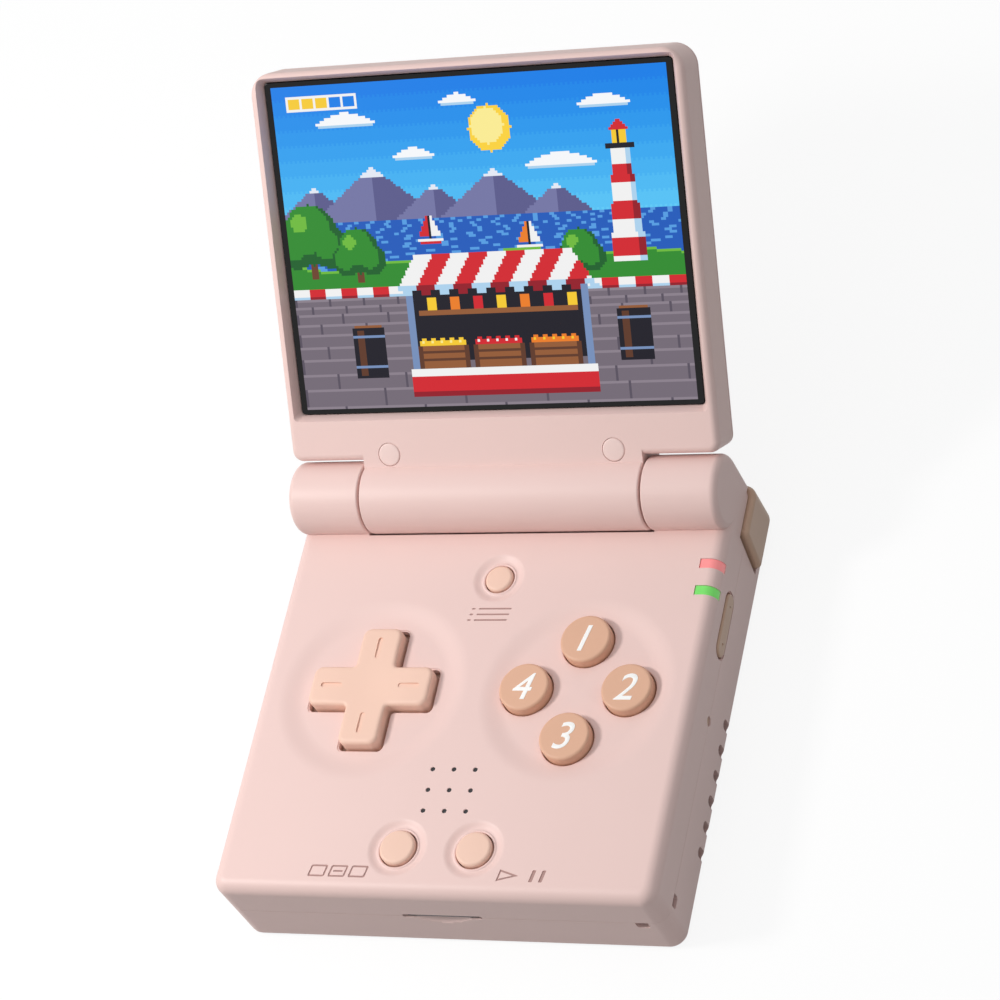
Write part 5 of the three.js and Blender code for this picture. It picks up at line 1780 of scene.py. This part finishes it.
def build_action_buttons(keys):
    """The four action buttons with their numerals."""
    colours = bpy.context.scene.console_colours
    tan = moulded("Button plastic", colours.key_tan, roughness=0.36, height=0.04)
    for index, node in enumerate(ACTION_NODES):
        place = middle(node)
        cap = turned(
            key_profile(node, keys.action_radius, keys.cap_edge), (place.x, place.y, 0)
        )
        finish_piece(cap, f"{node}_cap", node, tan, [node])
        build_numeral(str(index + 1), node, keys)


def build_small_keys(keys):
    """Menu, select and start."""
    colours = bpy.context.scene.console_colours
    peach = moulded("Pad plastic", colours.key_peach, roughness=0.4, height=0.04)
    sizes = {
        "menu_button": keys.menu_radius,
        "select_button": keys.option_radius,
        "start_button": keys.option_radius,
    }
    for node, radius in sizes.items():
        place = middle(node)
        cap = turned(key_profile(node, radius, keys.small_edge), (place.x, place.y, 0))
        finish_piece(cap, f"{node}_cap", node, peach, [node])


def pad_marks(keys, place, top):
    """Shallow slots in the four arms."""
    marks = []
    for turn in range(4):
        outline = stadium_outline(PAD_MARK_PLACE, 0, keys.mark_length, keys.mark_width)
        slot = prism(outline, top - keys.mark_depth, top + OVERRUN)
        spin = Matrix.Translation((place.x, place.y, 0)) @ Matrix.Rotation(
            math.radians(90 * turn), 4, "Z"
        )
        bmesh.ops.transform(slot, matrix=spin, verts=slot.verts)
        marks.append(slot)
    return marks


def hollow_top(bm, keys, place, top):
    """Draws the pad's top down towards its middle, in a soft hollow."""
    lines = 24
    for axis in (0, 1):
        normal = Vector((1 - axis, axis, 0))
        for index in range(1, 2 * lines):
            offset = normal * keys.pad_reach * (index / lines - 1)
            bmesh.ops.bisect_plane(
                bm,
                geom=[*bm.verts, *bm.edges, *bm.faces],
                plane_co=place + offset,
                plane_no=normal,
                dist=SEAM_TOLERANCE,
            )
    for vert in bm.verts:
        share = min((vert.co.z - top) / keys.pad_edge + 1, 1)
        if share > 0:
            away = math.hypot(vert.co.x - place.x, vert.co.y - place.y) / keys.pad_bowl
            vert.co.z -= keys.pad_bowl_depth * share * (1 - smooth_step(min(away, 1)))


def build_pad(keys):
    """The direction pad."""
    colours = bpy.context.scene.console_colours
    peach = moulded("Pad plastic", colours.key_peach, roughness=0.4, height=0.04)
    low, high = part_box("direction_pad")
    place = middle("direction_pad")
    outline = cross_outline(
        place.x, place.y, keys.pad_reach, keys.pad_half, keys.pad_corner, keys.pad_fillet
    )
    pad = prism(outline, low.z, high.z)
    round_edges(pad, edges_on(pad, 2, high.z), keys.pad_edge, 7)
    hollow_top(pad, keys, place, high.z)
    flange_radius = (high.x - low.x) / 2
    flange = rod(flange_radius, low.z, low.z + PAD_FLANGE, (place.x, place.y, 0))
    pad = cut(joined(pad, flange), *pad_marks(keys, place, high.z))
    return finish_piece(
        pad, "direction_pad_cap", "direction_pad", peach, ["direction_pad"]
    )


def shoulder_material():
    """Plastic of the shoulder and side keys."""
    shade = bpy.context.scene.console_colours.shoulder
    return moulded("Shoulder plastic", shade, roughness=0.42, height=0.05)


def shoulder_hub(keys, x, y, low, high, back):
    """The pin at a shoulder button's inner end, and the web that joins it."""
    foot, top = keys.shoulder_low, high.z - HUB_DROP
    return [
        box(x - HUB_RADIUS, x + HUB_RADIUS, y, back, foot, top),
        rod(HUB_RADIUS, foot, top, (x, y, 0)),
        rod(PIN_RADIUS, low.z, high.z - PIN_DROP, (x, y, 0)),
    ]


def build_shoulder(side, which, keys):
    """One shoulder button, drawn for the right and mirrored for the left."""
    node = f"shoulder_button_{which}_{side}"
    low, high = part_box(f"shoulder_button_{which}_right")
    wall = keys.shoulder_wall
    edge = keys.shoulder_edge
    front = low.y if which == "outer" else high.y - wall
    corner = keys.shoulder_end
    outer_corner = keys.shoulder_corner if which == "outer" else corner
    outline = [
        *arc(high.x - corner, front + corner, corner, -90, 0),
        *arc(high.x - outer_corner, high.y - outer_corner, outer_corner, 0, 90),
        *arc(low.x + corner, high.y - corner, corner, 90, 180),
        *arc(low.x + corner, front + corner, corner, 180, 270),
    ]
    foot = keys.shoulder_low
    body = prism(outline, foot, high.z)
    rims = edges_on(body, 2, foot) + edges_on(body, 2, high.z)
    round_edges(body, rims, edge, 6)
    if which == "outer":
        for vert in body.verts:
            if vert.co.y < front + wall:
                vert.co.y += keys.shoulder_lean * (vert.co.z - foot) / (high.z - foot)
        room = box(
            low.x - OVERRUN,
            high.x - wall,
            low.y - OVERRUN,
            high.y - wall,
            foot - OVERRUN,
            high.z + OVERRUN,
        )
        body = cut(body, room)
    joint = next(j for j in frame["joints"] if j["child"] == f"shoulder_button_{which}_right")
    x, y = joint["pos_m"][:2]
    body = joined(body, *shoulder_hub(keys, x, y, low, high, high.y - wall / 2))
    if side == "left":
        body = mirrored(body)
    finish_piece(body, f"{node}_cap", node, shoulder_material(), [node])


def build_side_key(node, keys):
    """Volume rocker or power button."""
    low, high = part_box(node)
    place = middle(node)
    side = math.copysign(1, place.x)
    reach = max(abs(low.x), abs(high.x))
    inner = min(abs(low.x), abs(high.x))
    long = high.y - low.y - 2 * keys.side_flange
    wide = high.z - low.z - 2 * keys.side_flange
    cap = prism(stadium_outline(place.y, place.z, long, wide), inner, reach, "X")
    round_edges(cap, edges_on(cap, 0, reach), keys.side_edge, 5)
    plate = stadium_outline(place.y, place.z, high.y - low.y, high.z - low.z)
    made = joined(cap, prism(plate, inner, inner + SIDE_PLATE, "X"))
    dot_low, dot_high = reach - SIDE_DOT_DEPTH, reach + OVERRUN
    dots = [
        rod(SIDE_DOT_RADIUS, dot_low, dot_high, (0, place.y + y, place.z), "X", 20)
        for y in (-SIDE_DOT_SHARE * long, SIDE_DOT_SHARE * long)
    ]
    made = cut(made, *dots)
    if side < 0:
        made = mirrored(made)
    finish_piece(made, f"{node}_cap", node, shoulder_material(), [node])


def build_reset():
    """The small reset pin."""
    low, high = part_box("reset_button")
    place = middle("reset_button")
    radius, edge = RESET_RADIUS, RESET_EDGE
    shoulder = low.x + RESET_FLANGE
    profile = [
        (0, low.x),
        ((high.y - low.y) / 2, low.x),
        ((high.y - low.y) / 2, shoulder),
        (radius, shoulder),
        *arc(radius - edge, high.x - edge, edge, 0, 90, 4),
        (0, high.x),
    ]
    pin = turned(profile, (0, place.y, place.z), "X", SMALL_STEPS)
    finish_piece(
        pin, "reset_pin", "reset_button", shoulder_material(), ["reset_button"]
    )


def build_lights(case):
    """The two indicator windows that wrap over the edge."""
    colours = bpy.context.scene.console_colours
    shades = {"light_pipe_red": colours.light_red, "light_pipe_green": colours.light_green}
    half_width, _, height = case_extent()
    for node, y, half, left in light_windows():
        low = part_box(node)[0].z
        block = case_block(case)
        bmesh.ops.translate(block, verts=block.verts, vec=(-WINDOW_SINK, 0, -WINDOW_SINK))
        foot = height - case.light_drop
        window = box(left, half_width, y - half, y + half, foot + FIT_GAP / 2, height)
        leg = box(left, left + WINDOW_LEG, y - half, y + half, low, foot + FIT_GAP)
        made = joined(common(window, block), leg)
        name = node.replace("pipe", "window")
        finish_piece(made, name, "base", lamp_plastic(name, shades[node]), [node])


def build_screws():
    """Case screws with a cross recess."""
    colours = bpy.context.scene.console_colours
    steel = brushed("Screw steel", colours.steel)
    for node in SCREW_NODES:
        low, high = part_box(node)
        place = middle(node)
        radius = (high.x - low.x) / 2
        edge = SCREW_EDGE
        profile = [
            (0, low.z),
            *arc(radius - edge, low.z + edge, edge, -90, 0, 5),
            (radius, low.z + SCREW_HEAD),
            (SCREW_SHANK, low.z + SCREW_HEAD),
            (SCREW_SHANK, high.z),
            (0, high.z),
        ]
        head = turned(profile, (place.x, place.y, 0), steps=SMALL_STEPS)
        long, wide = CROSS_LONG, CROSS_WIDE
        depth = low.z + CROSS_DEPTH
        for half_x, half_y in ((long, wide), (wide, long)):
            slot = box(
                place.x - half_x,
                place.x + half_x,
                place.y - half_y,
                place.y + half_y,
                low.z - OVERRUN,
                depth,
            )
            head = cut(head, slot)
        finish_piece(head, f"{node}_fine", "base", steel, [node])


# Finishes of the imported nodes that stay


def dress_nodes():
    """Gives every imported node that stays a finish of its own."""
    colours = bpy.context.scene.console_colours
    steel = brushed("Plain steel", colours.steel)
    rubber = moulded("Membrane rubber", colours.rubber, roughness=0.7, height=0.12)
    board = circuit("Circuit board", colours.board)
    dark = moulded("Dark plastic", colours.dark, roughness=0.42, height=0.08)
    copper = moulded("Flat cable film", colours.copper, roughness=0.35, height=0.05)
    wrap = moulded("Battery wrap", colours.wrap, roughness=0.4, height=0.06)
    finishes = {
        "steel": steel,
        "rubber": rubber,
        "board": board,
        "black": dark,
        "ribbon": copper,
        "battery_wrap": wrap,
        "panel": dark,
        "speaker_can": brushed("Speaker can", colours.dark, 0.5),
        "shell": shell_material(),
        "key_tan": moulded("Button plastic", colours.key_tan),
        "key_peach": moulded("Pad plastic", colours.key_peach),
        "shoulder_tan": shoulder_material(),
        "screen": dark,
        "light_red": dark,
        "light_green": dark,
    }
    for part in frame["record"]["subparts"]:
        node = frame["nodes"][part["node"]]
        node.data.materials.clear()
        node.data.materials.append(finishes[part["material_slot"]])


# Stage


def camera_matrix(stage):
    """Camera's turn and place from its azimuth, elevation and roll."""
    azimuth, elevation = stage.camera_azimuth, stage.camera_elevation
    back = Vector(
        (
            math.sin(azimuth) * math.cos(elevation),
            -math.cos(azimuth) * math.cos(elevation),
            math.sin(elevation),
        )
    )
    right = Vector((math.cos(azimuth), math.sin(azimuth), 0))
    up = back.cross(right)
    roll = stage.camera_roll
    turned_right = math.cos(roll) * right + math.sin(roll) * up
    turned_up = -math.sin(roll) * right + math.cos(roll) * up
    turn = Matrix((turned_right, turned_up, back)).transposed()
    return Matrix.Translation(stage.camera_place) @ turn.to_4x4()


def build_camera(stage):
    """The camera at the photograph's viewpoint."""
    data = bpy.data.cameras.new("Camera")
    data.lens = stage.camera_lens
    data.sensor_width = 36
    data.clip_start = 0.01
    camera = bpy.data.objects.new("Camera", data)
    bpy.context.scene.collection.objects.link(camera)
    camera.matrix_world = camera_matrix(stage)
    bpy.context.scene.camera = camera


# Name, direction to the lamp, distance, width, level on a surface that faces it, colour
LAMPS = (
    ("Top box", (-0.12, 0.10, 1.0), 1.1, 1.3, 0.26, (1.0, 1.0, 1.0)),
    ("Key lamp", (-0.62, -0.18, 0.77), 0.45, 0.0765, 0.55, (1.0, 0.975, 0.95)),
)


def build_lamps():
    """Lamps; each level is the share of white that it gives a surface facing it."""
    for name, way, distance, width, level, tint in LAMPS:
        data = bpy.data.lights.new(name, "AREA")
        data.shape = "SQUARE"
        data.size = width
        data.energy = level * math.pi**2 * distance**2
        data.color = tint
        lamp = bpy.data.objects.new(name, data)
        bpy.context.scene.collection.objects.link(lamp)
        direction = Vector(way).normalized()
        lamp.location = direction * distance
        lamp.rotation_euler = direction.to_track_quat("Z", "Y").to_euler()


def seen_directly(tree):
    """1 where the camera, a reflection or a clear material looks, otherwise 0."""
    path = tree.nodes.new("ShaderNodeLightPath")
    seen = path.outputs["Is Camera Ray"]
    for other in ("Is Glossy Ray", "Is Transmission Ray"):
        inputs = {0: seen, 1: path.outputs[other]}
        seen = chain(tree, "ShaderNodeMath", operation="MAXIMUM", inputs=inputs).outputs[0]
    return seen


def build_world(stage):
    """Even light all round, and white where the camera or a reflection looks past the floor."""
    world = bpy.data.worlds.new("Studio")
    bpy.context.scene.world = world
    world.use_nodes = True
    tree = world.node_tree
    back = tree.nodes["Background"]
    seen = seen_directly(tree)
    level = chain(
        tree,
        "ShaderNodeMapRange",
        inputs={"Value": seen, "To Min": stage.sky, "To Max": 1.0},
    ).outputs["Result"]
    tint = chain(
        tree,
        "ShaderNodeMix",
        data_type="RGBA",
        inputs={"Factor": seen, "A": (*stage.sky_tint, 1), "B": (1, 1, 1, 1)},
    ).outputs["Result"]
    tree.links.new(level, back.inputs["Strength"])
    tree.links.new(tint, back.inputs["Color"])


def build_floor(stage):
    """A plain floor that keeps a faint shadow and looks white to the camera."""
    bm = bmesh.new()
    bmesh.ops.create_grid(bm, x_segments=1, y_segments=1, size=stage.floor_size / 2)
    bmesh.ops.translate(bm, verts=bm.verts, vec=(0, 0, -FLOOR_DROP))
    floor = as_object(bm, "floor")
    material, tree, shader = empty_material("Floor")
    seen = seen_directly(tree)
    shade = chain(
        tree,
        "ShaderNodeMapRange",
        inputs={"Value": seen, "To Min": stage.floor_bounce, "To Max": 1 - stage.floor_glow},
    ).outputs["Result"]
    glow = chain(
        tree,
        "ShaderNodeMapRange",
        inputs={"Value": seen, "To Max": stage.floor_glow},
    ).outputs["Result"]
    tree.links.new(shade, shader.inputs["Base Color"])
    tree.links.new(glow, shader.inputs["Emission Strength"])
    shader.inputs["Emission Color"].default_value = (1, 1, 1, 1)
    shader.inputs["Roughness"].default_value = 0.9
    shader.inputs["Specular IOR Level"].default_value = 0.1
    floor.data.materials.append(material)


# Operators


class CONSOLE_OT_case(Operator):
    """Build the base's shells with their marks, painted shade in the speaker holes, card, windows and screws"""

    bl_idname = "console.case"
    bl_label = "Case"

    def execute(self, context):
        scene = context.scene
        build_top_shell(scene.console_case, scene.console_keys)
        build_bottom_shell(scene.console_case, scene.console_keys)
        build_marks(scene.console_case)
        build_speaker_hole_shade(scene.console_case)
        build_card(scene.console_case)
        build_lights(scene.console_case)
        build_screws()
        return {"FINISHED"}


class CONSOLE_OT_lid(Operator):
    """Build the lid's bezel, back and bumpers"""

    bl_idname = "console.lid"
    bl_label = "Lid"

    def execute(self, context):
        scene = context.scene
        build_lid_front(scene.console_case, scene.console_lid)
        build_lid_back(scene.console_lid)
        build_bumpers(scene.console_lid)
        return {"FINISHED"}


class CONSOLE_OT_screen(Operator):
    """Build the glass and its picture"""

    bl_idname = "console.screen"
    bl_label = "Screen"

    def execute(self, context):
        build_glass(context.scene.console_lid)
        build_picture(context.scene.console_lid)
        return {"FINISHED"}


class CONSOLE_OT_face_keys(Operator):
    """Build the keys of the top face"""

    bl_idname = "console.face_keys"
    bl_label = "Face keys"

    def execute(self, context):
        keys = context.scene.console_keys
        build_pad(keys)
        build_action_buttons(keys)
        build_small_keys(keys)
        return {"FINISHED"}


class CONSOLE_OT_side_keys(Operator):
    """Build the shoulder buttons and the side keys"""

    bl_idname = "console.side_keys"
    bl_label = "Side keys"

    def execute(self, context):
        keys = context.scene.console_keys
        for side in ("left", "right"):
            for which in ("outer", "inner"):
                build_shoulder(side, which, keys)
        for node in ("volume_rocker", "power_button"):
            build_side_key(node, keys)
        build_reset()
        return {"FINISHED"}


class CONSOLE_OT_finishes(Operator):
    """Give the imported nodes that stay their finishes"""

    bl_idname = "console.finishes"
    bl_label = "Inner pieces"

    def execute(self, context):
        dress_nodes()
        return {"FINISHED"}


class CONSOLE_OT_stage(Operator):
    """Build the camera, lamps, world and floor"""

    bl_idname = "console.stage"
    bl_label = "Stage"

    def execute(self, context):
        stage = context.scene.console_stage
        build_camera(stage)
        build_lamps()
        build_world(stage)
        build_floor(stage)
        context.scene.view_settings.view_transform = "Standard"
        return {"FINISHED"}


OPERATORS = (
    CONSOLE_OT_stage,
    CONSOLE_OT_finishes,
    CONSOLE_OT_case,
    CONSOLE_OT_lid,
    CONSOLE_OT_screen,
    CONSOLE_OT_face_keys,
    CONSOLE_OT_side_keys,
)


class CONSOLE_PT_sidebar(Panel):
    """Sizes, colours and steps of the console"""

    bl_label = "Clamshell game console"
    bl_idname = "CONSOLE_PT_sidebar"
    bl_space_type = "VIEW_3D"
    bl_region_type = "UI"
    bl_category = "Console"

    def draw(self, context):
        for name in SETTINGS:
            column = self.layout.column(align=True)
            group = getattr(context.scene, name)
            for key in group.__annotations__:
                column.prop(group, key)
        for operator in OPERATORS:
            self.layout.operator(operator.bl_idname)


SETTINGS = {
    "console_case": CaseSizes,
    "console_lid": LidSizes,
    "console_keys": KeySizes,
    "console_colours": ConsoleColours,
    "console_stage": StageSettings,
}
CLASSES = (*SETTINGS.values(), *OPERATORS, CONSOLE_PT_sidebar)


def register():
    """Registers every class and hangs the settings on the scene."""
    for cls in CLASSES:
        bpy.utils.register_class(cls)
    for name, cls in SETTINGS.items():
        setattr(bpy.types.Scene, name, PointerProperty(type=cls))


def unregister():
    """Takes the settings and classes away again."""
    for name in SETTINGS:
        delattr(bpy.types.Scene, name)
    for cls in reversed(CLASSES):
        bpy.utils.unregister_class(cls)


def main():
    """Builds everything in order."""
    register()
    for operator in OPERATORS:
        group, name = operator.bl_idname.split(".")
        getattr(getattr(bpy.ops, group), name)()


if __name__ == "__main__":
    main()
